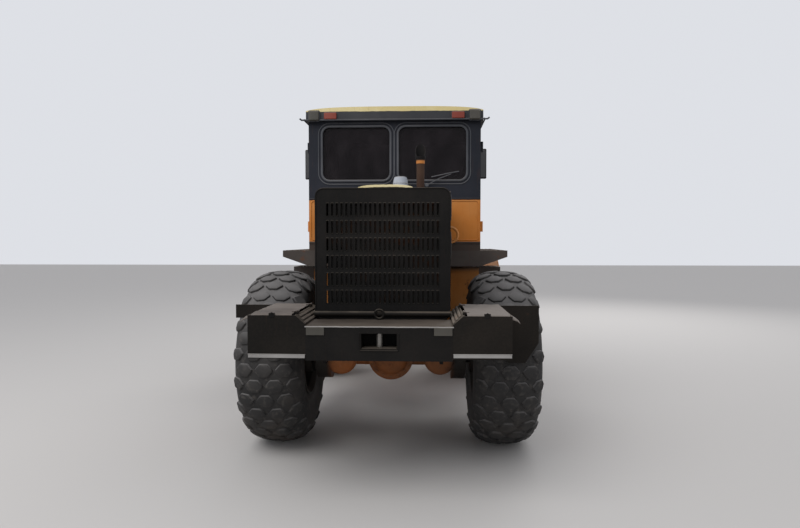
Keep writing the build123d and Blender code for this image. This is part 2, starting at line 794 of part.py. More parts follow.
for side, name in ((-1, "left"), (1, "right")):
    wall_x = sorted((side * (cab_half_width - cab_wall), side * cab_half_width))
    hinge_x = side * door_hinge_x
    hinge_zs = (door_bottom_z + 150, door_top_z - 250)
    with BuildPart() as cab_side_wall:
        block(wall_x, (cab_rear_y + cab_wall, cab_front_y - cab_wall), (floor_z, wall_top_z))
        block(
            (wall_x[0] - 1, wall_x[1] + 1),
            (door_rear_y, door_front_y),
            (door_bottom_z, door_top_z),
            mode=Mode.SUBTRACT,
        )
        wall_face = Plane.YZ.offset(wall_x[0])
        quarter_centre = (quarter_y, side_window_z)
        opening = window(wall_face, quarter_centre, quarter_width, side_window_height, window_corner)
        extrude(opening, amount=cab_wall, mode=Mode.SUBTRACT)
        for hinge_low in hinge_zs:
            hinge_z = (hinge_low, hinge_low + door_hinge_height)
            block(sorted((side * (cab_half_width - 1), hinge_x)), (door_rear_y - 50, door_rear_y), hinge_z)
            bar_z(hinge_z, hinge_x, door_rear_y, door_hinge_radius)
            bar_z((hinge_low, hinge_low + 2 * door_hinge_height), hinge_x, door_rear_y, door_pin_radius)
    write(cab_side_wall, f"cab_{name}_wall")

    door_y = (door_rear_y + moving_gap, door_front_y - moving_gap)
    door_z = (door_bottom_z + moving_gap, door_top_z - moving_gap)
    door_window_width = door_y[1] - door_y[0] - 2 * door_border
    door_window_top = door_z[1] - door_border
    door_window_height = door_window_top - door_window_bottom_z
    door_window_centre = ((door_y[0] + door_y[1]) / 2, (door_window_top + door_window_bottom_z) / 2)
    with BuildPart() as door:
        block(wall_x, door_y, door_z)
        wall_face = Plane.YZ.offset(wall_x[0])
        opening = window(wall_face, door_window_centre, door_window_width, door_window_height, window_corner)
        extrude(opening, amount=cab_wall, mode=Mode.SUBTRACT)
        for hinge_low in hinge_zs:
            knuckle_z = (hinge_low + door_hinge_height + 1, hinge_low + 2 * door_hinge_height)
            block(
                sorted((side * (cab_half_width - 1), hinge_x)),
                (door_rear_y + 8, door_rear_y + 70),
                knuckle_z,
            )
            bar_z(knuckle_z, hinge_x, door_rear_y, door_hinge_radius)
            bar_z(knuckle_z, hinge_x, door_rear_y, door_pin_radius + pin_clearance, mode=Mode.SUBTRACT)
    write(door, f"door_{name}")

    glass_low_x = (wall_x[0] + wall_x[1] - glass_thickness) / 2
    with BuildPart() as door_glass:
        pane = window(
            Plane.YZ.offset(glass_low_x),
            door_window_centre,
            door_window_width - 2 * seat_clearance,
            door_window_height - 2 * seat_clearance,
            window_corner - seat_clearance,
        )
        extrude(pane, amount=glass_thickness)
    write(door_glass, f"door_glass_{name}")

# Fixed panes of the cab: centre, width and height on their planes
pane_trim = 2 * seat_clearance
with BuildPart() as cab_glass:
    pane_middle = (cab_wall - glass_thickness) / 2
    wall_panes = [
        (
            Plane.XZ.offset(-(cab_rear_y + cab_wall - pane_middle)),
            -rear_window_x,
            rear_window_z,
            rear_window_width,
            rear_window_height,
        ),
        (
            Plane.XZ.offset(-(cab_rear_y + cab_wall - pane_middle)),
            rear_window_x,
            rear_window_z,
            rear_window_width,
            rear_window_height,
        ),
        (
            Plane.XZ.offset(-(cab_front_y - pane_middle)),
            0,
            side_window_z,
            windscreen_width,
            side_window_height,
        ),
        (
            Plane.YZ.offset(cab_half_width - cab_wall + pane_middle),
            quarter_y,
            side_window_z,
            quarter_width,
            side_window_height,
        ),
        (
            Plane.YZ.offset(-cab_half_width + pane_middle),
            quarter_y,
            side_window_z,
            quarter_width,
            side_window_height,
        ),
    ]
    for plane, across, up, width, height in wall_panes:
        pane = window(
            plane, (across, up), width - pane_trim, height - pane_trim, window_corner - seat_clearance
        )
        extrude(pane, amount=glass_thickness)
write(cab_glass, "cab_glass")

# Cab roof with a crown
roof_half_width = cab_half_width + roof_overhang_x
roof_y = (cab_rear_y - roof_overhang_rear, cab_front_y + roof_overhang_front)
with BuildPart() as cab_roof:
    with BuildSketch(Plane.XZ.offset(-roof_y[1])):
        with BuildLine():
            Line((-roof_half_width, roof_side_z), (-roof_half_width, eaves_z))
            Line((-roof_half_width, eaves_z), (roof_half_width, eaves_z))
            Line((roof_half_width, eaves_z), (roof_half_width, roof_side_z))
            ThreePointArc((roof_half_width, roof_side_z), (0, roof_crown_z), (-roof_half_width, roof_side_z))
        make_face()
    extrude(amount=roof_y[1] - roof_y[0])
    lining_half_width = cab_half_width - cab_wall
    with BuildSketch(Plane.XZ.offset(-(cab_front_y - cab_wall))):
        with BuildLine():
            Line((-lining_half_width, eaves_z + roof_lining), (-lining_half_width, eaves_z - 1))
            Line((-lining_half_width, eaves_z - 1), (lining_half_width, eaves_z - 1))
            Line((lining_half_width, eaves_z - 1), (lining_half_width, eaves_z + roof_lining))
            ThreePointArc(
                (lining_half_width, eaves_z + roof_lining),
                (0, roof_crown_z - roof_thickness),
                (-lining_half_width, eaves_z + roof_lining),
            )
        make_face()
    extrude(amount=cab_front_y - cab_rear_y - 2 * cab_wall, mode=Mode.SUBTRACT)
write(cab_roof, "cab_roof")

# Driver's seat on its pedestal, and the steering console
seat_y = cab_rear_y + 420.0
seat_z = floor_z + 420.0
with BuildPart() as seat_base:
    block((-180, 180), (seat_y - 170, seat_y + 190), (floor_z, seat_z - seat_clearance))
write(seat_base, "seat_base")

with BuildPart() as seat:
    block((-240, 240), (seat_y - 240, seat_y + 250), (seat_z, seat_z + 120))
    block((-225, 225), (seat_y - 300, seat_y - 190), (seat_z + 40, seat_z + 640))
write(seat, "seat")

console_y = cab_front_y - cab_wall - 210.0
console_half_width = 260.0
wheel_bar = 400.0  # the steering wheel's spoke, tip to tip
with BuildPart() as steering_console:
    block(
        (-console_half_width, console_half_width),
        (console_y, cab_front_y - cab_wall - seat_clearance),
        (floor_z, floor_z + 260),
    )
    wheel_heading = Vector(0, -0.5, 0.866)
    column_foot = Vector(0, console_y + 110, floor_z + 200)
    bar_along(column_foot, wheel_heading, 560, 35)
    wheel_plane = Plane(origin=column_foot + wheel_heading * 560, z_dir=wheel_heading)
    with Locations(wheel_plane.location):
        Torus(wheel_bar / 2, 16)
        Box(wheel_bar, 36, 20)
write(steering_console, "steering_console")

# Tanks on both sides, under the platform
with BuildPart() as tanks:
    for x_range in both_sides((rail_outer_x, tank_outer_x)):
        with BuildSketch(Plane.YZ.offset(x_range[0])):
            with Locations((tank_rear_y + tank_length / 2, (tank_bottom_z + tank_top_z) / 2)):
                RectangleRounded(tank_length, tank_top_z - tank_bottom_z, 60)
        extrude(amount=x_range[1] - x_range[0])
write(tanks, "tanks")

# Ladders on the outer faces of the tanks
step_rise = (tank_top_z - lip - ladder_bottom_z) / (step_count - 1)
ladder_plate = 12.0
with BuildPart() as ladders:
    for x_range in both_sides((tank_outer_x, ladder_outer_x)):
        ladder_y = (tank_rear_y + 60, tank_rear_y + 60 + ladder_length)
        for plate_y in (ladder_y[0], ladder_y[1] - ladder_plate):
            block(x_range, (plate_y, plate_y + ladder_plate), (ladder_bottom_z, tank_top_z))
        for step in range(step_count):
            step_z = ladder_bottom_z + step * step_rise
            block(x_range, ladder_y, (step_z, step_z + step_thickness))
write(ladders, "ladders")

# Lamps of the rear half: inner and outer face, Y span, Z span
lamp_table = [
    ((355, beam_half_width - 2), (rear_face_y, beam_rear_y), (deck_z - 57, deck_z)),
    ((540, 660), (roof_y[0] - 22, roof_y[0]), (eaves_z + 7, roof_lamp_top_z - 2)),
    ((705, cab_half_width - 10), (roof_y[0] - 35, roof_y[0]), (eaves_z - 5, roof_lamp_top_z + 15)),
    ((560, 720), (roof_y[1], roof_y[1] + 60), (eaves_z + 5, roof_lamp_top_z + 10)),
]
with BuildPart() as lamps:
    for x_range, y_range, z_range in lamp_table:
        for sided in both_sides(x_range):
            block(sided, y_range, z_range)
write(lamps, "lamps")

# Mirrors on arms from the cab's front corners, the right one turned further in
with BuildPart() as mirrors:
    for side, mirror_out in ((-1, left_mirror_out), (1, right_mirror_out)):
        mirror_x = cab_half_width + mirror_out
        mirror_arm_y = (cab_front_y - 30, cab_front_y - 10)
        arm_x = sorted((side * cab_half_width, side * mirror_x))
        block(arm_x, mirror_arm_y, (mirror_z + 120, mirror_z + 140))
        block(
            sorted((side * (mirror_x - mirror_width / 2), side * (mirror_x + mirror_width / 2))),
            (cab_front_y - 45, cab_front_y - 12),
            (mirror_z - mirror_height / 2, mirror_z + mirror_height / 2),
        )
write(mirrors, "mirrors")

# Front frame: two profile plates with the boom's tower, joined by cross plates
frame_bottom_z = lower_plate_z - moving_gap - hinge_plate_thickness
frame_rear_top_z = upper_plate_z + 2 * hinge_plate_thickness + moving_gap
frame_top_z = axle_z + 375.0
front_plate_outline = [
    (front_box_y, frame_bottom_z),
    (front_axle_y - 330, frame_bottom_z),
    (front_axle_y - 230, front_rail_bottom_z),
    (front_frame_front_y, front_rail_bottom_z),
    (front_frame_front_y, frame_top_z),
    (front_axle_y + 60, frame_top_z + 210),
    (boom_pivot_y + tower_radius, boom_pivot_z - 110),
    (boom_pivot_y + tower_radius, boom_pivot_z),
]
front_plate_rear = [
    (boom_pivot_y - tower_radius, boom_pivot_z),
    (boom_pivot_y - tower_radius - 55, frame_top_z + 180),
    (front_box_y, frame_rear_top_z),
    (front_box_y, frame_bottom_z),
]
with BuildPart() as front_frame:
    for x_range in both_sides((side_plate_x, side_plate_x + side_plate_thickness)):
        with BuildSketch(Plane.YZ.offset(x_range[0])):
            with BuildLine():
                Polyline(*front_plate_outline)
                ThreePointArc(
                    front_plate_outline[-1], (boom_pivot_y, boom_pivot_z + tower_radius), front_plate_rear[0]
                )
                Polyline(*front_plate_rear)
            make_face()
        extrude(amount=side_plate_thickness)
    outer_x = side_plate_x + side_plate_thickness
    rear_plate_y = (front_box_y, front_box_y + plate_thickness)
    block((-outer_x, outer_x), rear_plate_y, (frame_bottom_z, frame_rear_top_z))
    bar_y((rear_plate_y[0] - 1, rear_plate_y[1] + 1), 0, axle_z, 2 * shaft_radius, mode=Mode.SUBTRACT)
    block(
        (-outer_x, outer_x),
        (front_frame_front_y - plate_thickness, front_frame_front_y),
        (front_rail_bottom_z, frame_top_z),
    )
    bar_x((-outer_x - 1, outer_x + 1), lifting_eye_y, lifting_eye_z, tie_radius, mode=Mode.SUBTRACT)
    block(
        (-outer_x, outer_x),
        (boom_pivot_y - 120, boom_pivot_y + 60),
        (boom_pivot_z - 330, boom_pivot_z - 280),
    )
    block(
        (-outer_x, outer_x),
        (boom_pivot_y - 150, boom_pivot_y - 120),
        (frame_top_z + 30, boom_pivot_z - 250),
    )
    for plate_z in (upper_plate_z + hinge_plate_thickness + moving_gap, frame_bottom_z):
        with BuildSketch(Plane.XY.offset(plate_z)):
            with Locations((0, hinge_y)):
                Circle(hinge_nose_radius)
            with Locations((0, front_box_y + plate_thickness / 2)):
                Rectangle(2 * side_plate_x, plate_thickness)
            make_hull()
        extrude(amount=hinge_plate_thickness)
        bar_z(
            (plate_z - 1, plate_z + hinge_plate_thickness + 1),
            0,
            hinge_y,
            hinge_pin_radius + pin_clearance,
            mode=Mode.SUBTRACT,
        )
    for x in (-steer_eye_x, steer_eye_x):
        for low_z in (steer_z - steer_lug_inner - steer_lug_thickness, steer_z + steer_lug_inner):
            block(
                (x - 38, x + 38),
                (hinge_y + steer_eye_forward - 38, front_box_y + 1),
                (low_z, low_z + steer_lug_thickness),
            )
    bracket_foot = Vector(0, boom_pivot_y - 90, boom_pivot_z - 200)
    bracket_front = Vector(0, boom_pivot_y + 20, boom_pivot_z - 230)
    for x in (tilt_bracket_x, -tilt_bracket_x - tilt_bracket_thickness):
        bracket_face = hull_face(x, [(tilt_base, 75), (bracket_foot, 60), (bracket_front, 60)])
        extrude(bracket_face, amount=tilt_bracket_thickness)
    bar_x(
        (-tilt_bracket_x - tilt_bracket_thickness, tilt_bracket_x + tilt_bracket_thickness),
        tilt_base.Y,
        tilt_base.Z,
        link_pin_radius,
    )
    for side in (-1, 1):
        pin_x = sorted((side * side_plate_x, side * (boom_arm_x + boom_arm_thickness + 20)))
        bar_x(pin_x, boom_pivot.Y, boom_pivot.Z, boom_pin_radius)
        base_pin_x = sorted((side * side_plate_x, side * (lift_x + cylinder_eye_half_width + 15)))
        bar_x(base_pin_x, lift_base.Y, lift_base.Z, bucket_pin_radius)
        base_boss_x = sorted(
            (side * side_plate_x, side * (lift_x - cylinder_eye_half_width - seat_clearance))
        )
        bar_x(base_boss_x, lift_base.Y, lift_base.Z, 2 * bucket_pin_radius)
write(front_frame, "front_frame")

# Front fenders on brackets behind the lift cylinders' feet, with the headlamps on them
with BuildPart() as front_fenders:
    for x_range in both_sides((fender_inner_x, fender_outer_x)):
        with BuildSketch(Plane.YZ.offset(x_range[0])):
            with BuildLine():
                wheel_centre = (front_axle_y, axle_z)
                fender_sweep = fender_end_angle - fender_start_angle
                outer = CenterArc(
                    wheel_centre, fender_radius + fender_thickness, fender_start_angle, fender_sweep
                )
                inner = CenterArc(wheel_centre, fender_radius, fender_start_angle, fender_sweep)
                Line(outer @ 0, inner @ 0)
                Line(outer @ 1, inner @ 1)
            make_face()
        extrude(amount=x_range[1] - x_range[0])
    fender_end_y = front_axle_y + (fender_radius + fender_thickness) * cos(radians(fender_end_angle))
    for x_range in both_sides((side_plate_x + side_plate_thickness, fender_outer_x)):
        block(x_range, (fender_end_y - 45, fender_end_y + 6), (fender_end_z - 10, fender_end_z + 50))
write(front_fenders, "front_fenders")

with BuildPart() as headlamps:
    for x in (-headlamp_x, headlamp_x):
        bar_y((front_axle_y - 60, front_axle_y + 40), x, headlamp_z, headlamp_radius)
        bar_z((axle_z + fender_radius + fender_thickness, headlamp_z), x, front_axle_y, 15)
write(headlamps, "headlamps")

# Boom: two arms with a knee, their cross tube and the crank's brackets
arm_outer_x = boom_arm_x + boom_arm_thickness
with BuildPart() as boom:
    for x_range in both_sides((boom_arm_x, arm_outer_x)):
        extrude(
            hull_face(x_range[0], [(boom_pivot, boom_eye_radius), (knee, knee_radius)]),
            amount=boom_arm_thickness,
        )
        extrude(
            hull_face(x_range[0], [(knee, knee_radius), (bucket_pivot, nose_radius)]),
            amount=boom_arm_thickness,
        )
    for side in (-1, 1):
        boss_x = sorted((side * (side_plate_x + side_plate_thickness + moving_gap), side * (boom_arm_x + 1)))
        bar_x(boss_x, boom_pivot.Y, boom_pivot.Z, boom_eye_radius)
    bar_x(
        (-arm_outer_x, arm_outer_x),
        boom_pivot.Y,
        boom_pivot.Z,
        boom_pin_radius + pin_clearance,
        mode=Mode.SUBTRACT,
    )
    bar_x(
        (-arm_outer_x, arm_outer_x),
        bucket_pivot.Y,
        bucket_pivot.Z,
        bucket_pin_radius + pin_clearance,
        mode=Mode.SUBTRACT,
    )
    bar_x((-boom_arm_x - 1, boom_arm_x + 1), knee.Y, knee.Z, cross_tube_radius)
    for x in (bracket_x, -bracket_x - bracket_thickness):
        extrude(
            hull_face(x, [(knee, cross_tube_radius + 25), (crank_pivot, crank_hub_radius)]),
            amount=bracket_thickness,
        )
        bar_x(
            (x - 1, x + bracket_thickness + 1),
            crank_pivot.Y,
            crank_pivot.Z,
            crank_pin_radius + pin_clearance,
            mode=Mode.SUBTRACT,
        )
write(boom, "boom")

# Crank pin, crank, link pin, link and the bucket's pins
with BuildPart() as crank_pin:
    crank_cap_x = bracket_x + bracket_thickness + moving_gap
    bar_x((-crank_cap_x - 1, crank_cap_x + 1), crank_pivot.Y, crank_pivot.Z, crank_pin_radius)
    for x_range in both_sides((crank_cap_x, crank_cap_x + crank_cap_thickness)):
        bar_x(x_range, crank_pivot.Y, crank_pivot.Z, crank_cap_radius)
write(crank_pin, "crank_pin")

with BuildPart() as crank:
    for x in (crank_plate_x, -crank_plate_x - crank_plate_thickness):
        extrude(
            hull_face(
                x, [(crank_pivot, crank_hub_radius + 12), (crank_cylinder_eye, 55), (crank_link_eye, 52)]
            ),
            amount=crank_plate_thickness,
        )
    crank_outer_x = crank_plate_x + crank_plate_thickness
    bar_x((-crank_outer_x, crank_outer_x), crank_pivot.Y, crank_pivot.Z, crank_barrel_radius)
    bar_x(
        (-crank_outer_x, crank_outer_x),
        crank_pivot.Y,
        crank_pivot.Z,
        crank_pin_radius + pin_clearance,
        mode=Mode.SUBTRACT,
    )
    bar_x(
        (-crank_outer_x, crank_outer_x),
        crank_link_eye.Y,
        crank_link_eye.Z,
        link_pin_radius + pin_clearance,
        mode=Mode.SUBTRACT,
    )
write(crank, "crank")

with BuildPart() as link_pin:
    link_cap_x = crank_outer_x + moving_gap
    bar_x((-link_cap_x - 1, link_cap_x + 1), crank_link_eye.Y, crank_link_eye.Z, link_pin_radius)
    for x_range in both_sides((link_cap_x, link_cap_x + link_cap_thickness)):
        bar_x(x_range, crank_link_eye.Y, crank_link_eye.Z, link_cap_radius)
write(link_pin, "link_pin")

link_run = bucket_link_eye - crank_link_eye
with BuildPart() as link:
    extrude(
        hull_face(
            -link_half_width, [(crank_link_eye, link_half_height), (bucket_link_eye, link_half_height)]
        ),
        amount=2 * link_half_width,
    )
    for eye in (crank_link_eye, bucket_link_eye):
        bar_x((-link_half_width, link_half_width), eye.Y, eye.Z, link_eye_radius)
    bar_x(
        (-link_half_width, link_half_width),
        crank_link_eye.Y,
        crank_link_eye.Z,
        link_pin_radius + pin_clearance,
        mode=Mode.SUBTRACT,
    )
    bar_x(
        (-link_half_width, link_half_width),
        bucket_link_eye.Y,
        bucket_link_eye.Z,
        link_pin_radius + 2 * pin_clearance,
        mode=Mode.SUBTRACT,
    )
write(link, "link")

ear_gap = moving_gap
inner_ear_x = boom_arm_x - ear_gap - ear_thickness
outer_ear_x = arm_outer_x + ear_gap
with BuildPart() as bucket_pins:
    for x_range in both_sides((inner_ear_x - 12, outer_ear_x + ear_thickness + 12)):
        bar_x(x_range, bucket_pivot.Y, bucket_pivot.Z, bucket_pin_radius)
    bucket_tube_end = inner_ear_x - moving_gap
    bar_x((-bucket_tube_end, bucket_tube_end), bucket_pivot.Y, bucket_pivot.Z, bucket_tube_radius)
    for x_range in both_sides((bucket_collar_x, bucket_tube_end)):
        bar_x(x_range, bucket_pivot.Y, bucket_pivot.Z, bucket_collar_radius)
write(bucket_pins, "bucket_pins")

# Bucket: a bent shell between side plates, with ears at its back and teeth on its edge
bucket_edge_y = front_axle_y + bucket_reach - tooth_overlap
shell_outer = [
    (bucket_edge_y, bucket_clear_z),
    (bucket_heel_y, bucket_clear_z),
    (bucket_back_y, bucket_heel_z),
    (bucket_shoulder_y, bucket_shoulder_z),
    (bucket_top_y, bucket_top_z),
]
heel_middle = (bucket_pivot_y + 170.0, 95.0)
with BuildPart() as bucket:
    with BuildSketch(Plane.YZ.offset(-bucket_half_width)) as shell_face:
        with BuildLine() as shell_line:
            Line(shell_outer[0], shell_outer[1])
            ThreePointArc(shell_outer[1], heel_middle, shell_outer[2])
            Polyline(shell_outer[2], shell_outer[3], shell_outer[4])
            offset(amount=bucket_plate, side=Side.RIGHT, kind=Kind.INTERSECTION)
        make_face()
    extrude(amount=2 * bucket_half_width)
    for x in (-bucket_half_width, bucket_half_width - bucket_plate):
        with BuildSketch(Plane.YZ.offset(x)):
            with BuildLine():
                Line(shell_outer[0], shell_outer[1])
                ThreePointArc(shell_outer[1], heel_middle, shell_outer[2])
                Polyline(
                    *shell_outer[2:],
                    (bucket_edge_y - 420, 640),
                    (bucket_edge_y, bucket_clear_z + 40),
                    shell_outer[0],
                )
            make_face()
        extrude(amount=bucket_plate)
    for x_low in (inner_ear_x, outer_ear_x):
        for x_range in both_sides((x_low, x_low + ear_thickness)):
            ear_root = Vector(0, bucket_back_y + 5, bucket_heel_z + 20)
            ear_head = Vector(0, bucket_shoulder_y - 28, 620)
            ear = hull_face(x_range[0], [(bucket_pivot, ear_radius), (ear_root, 12), (ear_head, 30)])
            extrude(ear, amount=ear_thickness)
            bar_x(
                (x_range[0] - 1, x_range[1] + 1),
                bucket_pivot.Y,
                bucket_pivot.Z,
                bucket_pin_radius + pin_clearance,
                mode=Mode.SUBTRACT,
            )
    for x in (crank_plate_x, -crank_plate_x - crank_plate_thickness):
        ear_low = Vector(0, bucket_shoulder_y - 20, bucket_link_eye.Z - 170)
        ear_high = Vector(0, bucket_shoulder_y - 8, bucket_link_eye.Z + 110)
        extrude(
            hull_face(x, [(bucket_link_eye, 55), (ear_low, 20), (ear_high, 15)]),
            amount=crank_plate_thickness,
        )
    bar_x(
        (-crank_plate_x - crank_plate_thickness, crank_plate_x + crank_plate_thickness),
        bucket_link_eye.Y,
        bucket_link_eye.Z,
        link_pin_radius,
    )
    tooth_pitch = (2 * bucket_half_width - tooth_width) / (tooth_count - 1)
    for tooth in range(tooth_count):
        tooth_x = -bucket_half_width + tooth * tooth_pitch
        tip_y = bucket_edge_y + tooth_overlap
        with BuildSketch(Plane.YZ.offset(tooth_x)):
            with BuildLine():
                Polyline(
                    (tip_y, bucket_clear_z),
                    (tip_y - tooth_length, bucket_clear_z),
                    (tip_y - tooth_length, bucket_clear_z + tooth_height),
                    (tip_y - tooth_overlap, bucket_clear_z + tooth_height),
                    (tip_y, bucket_clear_z + 12),
                    close=True,
                )
            make_face()
        extrude(amount=tooth_width)
write(bucket, "bucket")

# Lift cylinders: barrels on the front frame, rods with their eyes beside the boom's arms
lift_heading = (lift_eye - lift_base).normalized()
lift_length = (lift_eye - lift_base).length
with BuildPart() as lift_barrels:
    for x in (-lift_x, lift_x):
        foot = Vector(x, lift_base.Y, lift_base.Z)
        bar_x(
            (x - cylinder_eye_half_width, x + cylinder_eye_half_width),
            foot.Y,
            foot.Z,
            2 * bucket_pin_radius - 5,
        )
        bar_along(foot, lift_heading, cylinder_neck_length, cylinder_eye_half_width - 2)
        tube_foot = foot + lift_heading * (cylinder_neck_length - 1)
        bar_along(tube_foot, lift_heading, lift_barrel_length - cylinder_neck_length, lift_barrel_radius)
        bar_along(
            foot + lift_heading * (cylinder_neck_length + 20),
            lift_heading,
            lift_barrel_length,
            lift_rod_radius + pin_clearance,
            mode=Mode.SUBTRACT,
        )
        bar_x((x - 80, x + 80), foot.Y, foot.Z, bucket_pin_radius + pin_clearance, mode=Mode.SUBTRACT)
write(lift_barrels, "lift_barrels")

with BuildPart() as lift_rods:
    for side in (-1, 1):
        head = Vector(side * lift_x, lift_eye.Y, lift_eye.Z)
        reach_back = lift_length - lift_barrel_length + lift_rod_inside
        bar_along(head - lift_heading * reach_back, lift_heading, reach_back, lift_rod_radius)
        bar_x(sorted((head.X - 40, head.X + 40)), head.Y, head.Z, 62)
        eye_pin_x = sorted((side * (arm_outer_x + seat_clearance), side * (lift_x + 55)))
        bar_x(eye_pin_x, head.Y, head.Z, bucket_pin_radius)
write(lift_rods, "lift_rods")

# Tilt cylinder in the middle
tilt_heading = (crank_cylinder_eye - tilt_base).normalized()
tilt_length = (crank_cylinder_eye - tilt_base).length
with BuildPart() as tilt_barrel:
    bar_x((-tilt_bracket_x + seat_clearance, tilt_bracket_x - seat_clearance), tilt_base.Y, tilt_base.Z, 60)
    bar_along(tilt_base, tilt_heading, cylinder_neck_length, 42)
    tube_foot = tilt_base + tilt_heading * (cylinder_neck_length - 1)
    bar_along(tube_foot, tilt_heading, tilt_barrel_length - cylinder_neck_length, tilt_barrel_radius)
    bar_along(
        tilt_base + tilt_heading * (cylinder_neck_length + 20),
        tilt_heading,
        tilt_barrel_length,
        tilt_rod_radius + pin_clearance,
        mode=Mode.SUBTRACT,
    )
    bar_x((-80, 80), tilt_base.Y, tilt_base.Z, link_pin_radius + pin_clearance, mode=Mode.SUBTRACT)
write(tilt_barrel, "tilt_barrel")

with BuildPart() as tilt_rod:
    reach_back = tilt_length - tilt_barrel_length + tilt_rod_inside
    bar_along(crank_cylinder_eye - tilt_heading * reach_back, tilt_heading, reach_back, tilt_rod_radius)
    bar_x((-crank_plate_x + 5, crank_plate_x - 5), crank_cylinder_eye.Y, crank_cylinder_eye.Z, 50)
    eye_end = crank_plate_x - seat_clearance
    bar_x((-eye_end, eye_end), crank_cylinder_eye.Y, crank_cylinder_eye.Z, 26)
write(tilt_rod, "tilt_rod")

# Steering cylinders beside the hinge
for side, name in ((-1, "left"), (1, "right")):
    steer_base = Vector(side * steer_base_x, steer_base_y, steer_z)
    steer_eye = Vector(side * steer_eye_x, hinge_y + steer_eye_forward, steer_z)
    steer_heading = (steer_eye - steer_base).normalized()
    steer_length = (steer_eye - steer_base).length
    eye_z = (steer_z - cylinder_eye_half_width, steer_z + cylinder_eye_half_width)
    with BuildPart() as steer_barrel:
        bar_z(eye_z, steer_base.X, steer_base.Y, 42)
        bar_along(steer_base, steer_heading, 80, 30)
        barrel_foot = steer_base + steer_heading * 70
        bar_along(barrel_foot, steer_heading, steer_barrel_length - 70, steer_barrel_radius)
        bore_foot = steer_base + steer_heading * 85
        bore_radius = steer_rod_radius + pin_clearance
        bar_along(bore_foot, steer_heading, steer_barrel_length, bore_radius, mode=Mode.SUBTRACT)
        bar_z(
            (steer_z - 60, steer_z + 60),
            steer_base.X,
            steer_base.Y,
            steer_pin_radius + pin_clearance,
            mode=Mode.SUBTRACT,
        )
    write(steer_barrel, f"steer_barrel_{name}")

    with BuildPart() as steer_rod:
        reach_back = steer_length - steer_barrel_length + steer_rod_inside
        bar_along(steer_eye - steer_heading * reach_back, steer_heading, reach_back, steer_rod_radius)
        bar_z(eye_z, steer_eye.X, steer_eye.Y, 36)
    write(steer_rod, f"steer_rod_{name}")
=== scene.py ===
import json
import math

import bpy
import numpy as np
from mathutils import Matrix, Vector


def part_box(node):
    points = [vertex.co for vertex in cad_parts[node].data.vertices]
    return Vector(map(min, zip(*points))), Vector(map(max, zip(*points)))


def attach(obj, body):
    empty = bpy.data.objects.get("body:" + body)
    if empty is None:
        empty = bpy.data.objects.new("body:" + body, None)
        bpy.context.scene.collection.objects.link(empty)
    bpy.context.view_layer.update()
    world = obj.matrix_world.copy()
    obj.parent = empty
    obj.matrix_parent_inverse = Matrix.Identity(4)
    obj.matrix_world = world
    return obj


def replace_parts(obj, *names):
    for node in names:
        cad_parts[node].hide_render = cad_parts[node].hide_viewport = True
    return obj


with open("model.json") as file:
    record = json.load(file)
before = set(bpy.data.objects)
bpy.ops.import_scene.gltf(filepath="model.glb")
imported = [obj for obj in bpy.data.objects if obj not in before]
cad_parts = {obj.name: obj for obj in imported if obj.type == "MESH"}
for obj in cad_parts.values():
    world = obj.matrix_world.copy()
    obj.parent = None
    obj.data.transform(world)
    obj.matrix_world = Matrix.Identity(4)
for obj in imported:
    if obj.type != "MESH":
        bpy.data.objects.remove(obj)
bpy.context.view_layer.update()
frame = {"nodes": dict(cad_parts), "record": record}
nodes = frame["nodes"]
random = np.random.default_rng(7)
turn = 2 * math.pi
print("frame loaded")

# Shells. A shell is (points, faces): an array of positions and a list of arrays of corner numbers,
# one array for each number of corners.


# Faces of a grid of rows by columns points; a looped direction joins its last line to its first.
def gridFaces(rows, columns, loopRows=False, loopColumns=True):
    row = np.arange(rows if loopRows else rows - 1)[:, None]
    column = np.arange(columns if loopColumns else columns - 1)[None, :]
    nextRow, nextColumn = (row + 1) % rows, (column + 1) % columns
    here, there = row * columns, nextRow * columns
    corners = np.broadcast_arrays(here + column, here + nextColumn, there + nextColumn, there + column)
    return np.stack(corners, -1).reshape(-1, 4)


# The same shell with its faces turned outwards: six times its volume is summed over fans of triangles.
def outward(points, faces):
    volume = 0.0
    for group in faces:
        a = points[group[:, 0]]
        for k in range(1, group.shape[1] - 1):
            volume += np.einsum("ij,ij->", a, np.cross(points[group[:, k]], points[group[:, k + 1]]))
    return points, faces if volume > 0 else [group[:, ::-1] for group in faces]


# Closed shell through rings, an array of rows by columns by 3. The ends are closed flat unless the
# rows loop.
def loft(rings, looped=False):
    rings = np.asarray(rings, float)
    rows, columns = rings.shape[:2]
    faces = [gridFaces(rows, columns, looped)]
    if not looped:
        last = np.arange(columns)[None, :]
        faces += [last[:, ::-1], last + (rows - 1) * columns]
    return outward(rings.reshape(-1, 3), faces)


def joined(shells):
    points, faces, count = [], [], 0
    for p, groups in shells:
        points.append(p)
        faces += [group + count for group in groups]
        count += len(p)
    return np.concatenate(points), faces


# Copies of one shell at each offset.
def copies(shell, offsets):
    points, groups = shell
    offsets = np.asarray(offsets, float)
    moved = (points[None] + offsets[:, None]).reshape(-1, 3)
    steps = (np.arange(len(offsets)) * len(points))[:, None, None]
    return moved, [(group[None] + steps).reshape(-1, group.shape[1]) for group in groups]


# The shell mirrored in x = 0, its faces turned back outwards.
def mirrored(shell):
    points, groups = shell
    return points * (-1, 1, 1), [group[:, ::-1] for group in groups]


# Points round a rounded rectangle, anticlockwise from its right side: four quarter circles of
# radius corner about centres that lie corner inside each side.
def roundedOutline(width, height, corner, steps=5):
    angle = (np.arange(4)[:, None] + np.linspace(0, 1, steps)[None, :]) * (turn / 4)
    cx = (width / 2 - corner) * np.array([1, -1, -1, 1])[:, None]
    cy = (height / 2 - corner) * np.array([1, 1, -1, -1])[:, None]
    return np.stack([cx + corner * np.cos(angle), cy + corner * np.sin(angle)], -1).reshape(-1, 2)


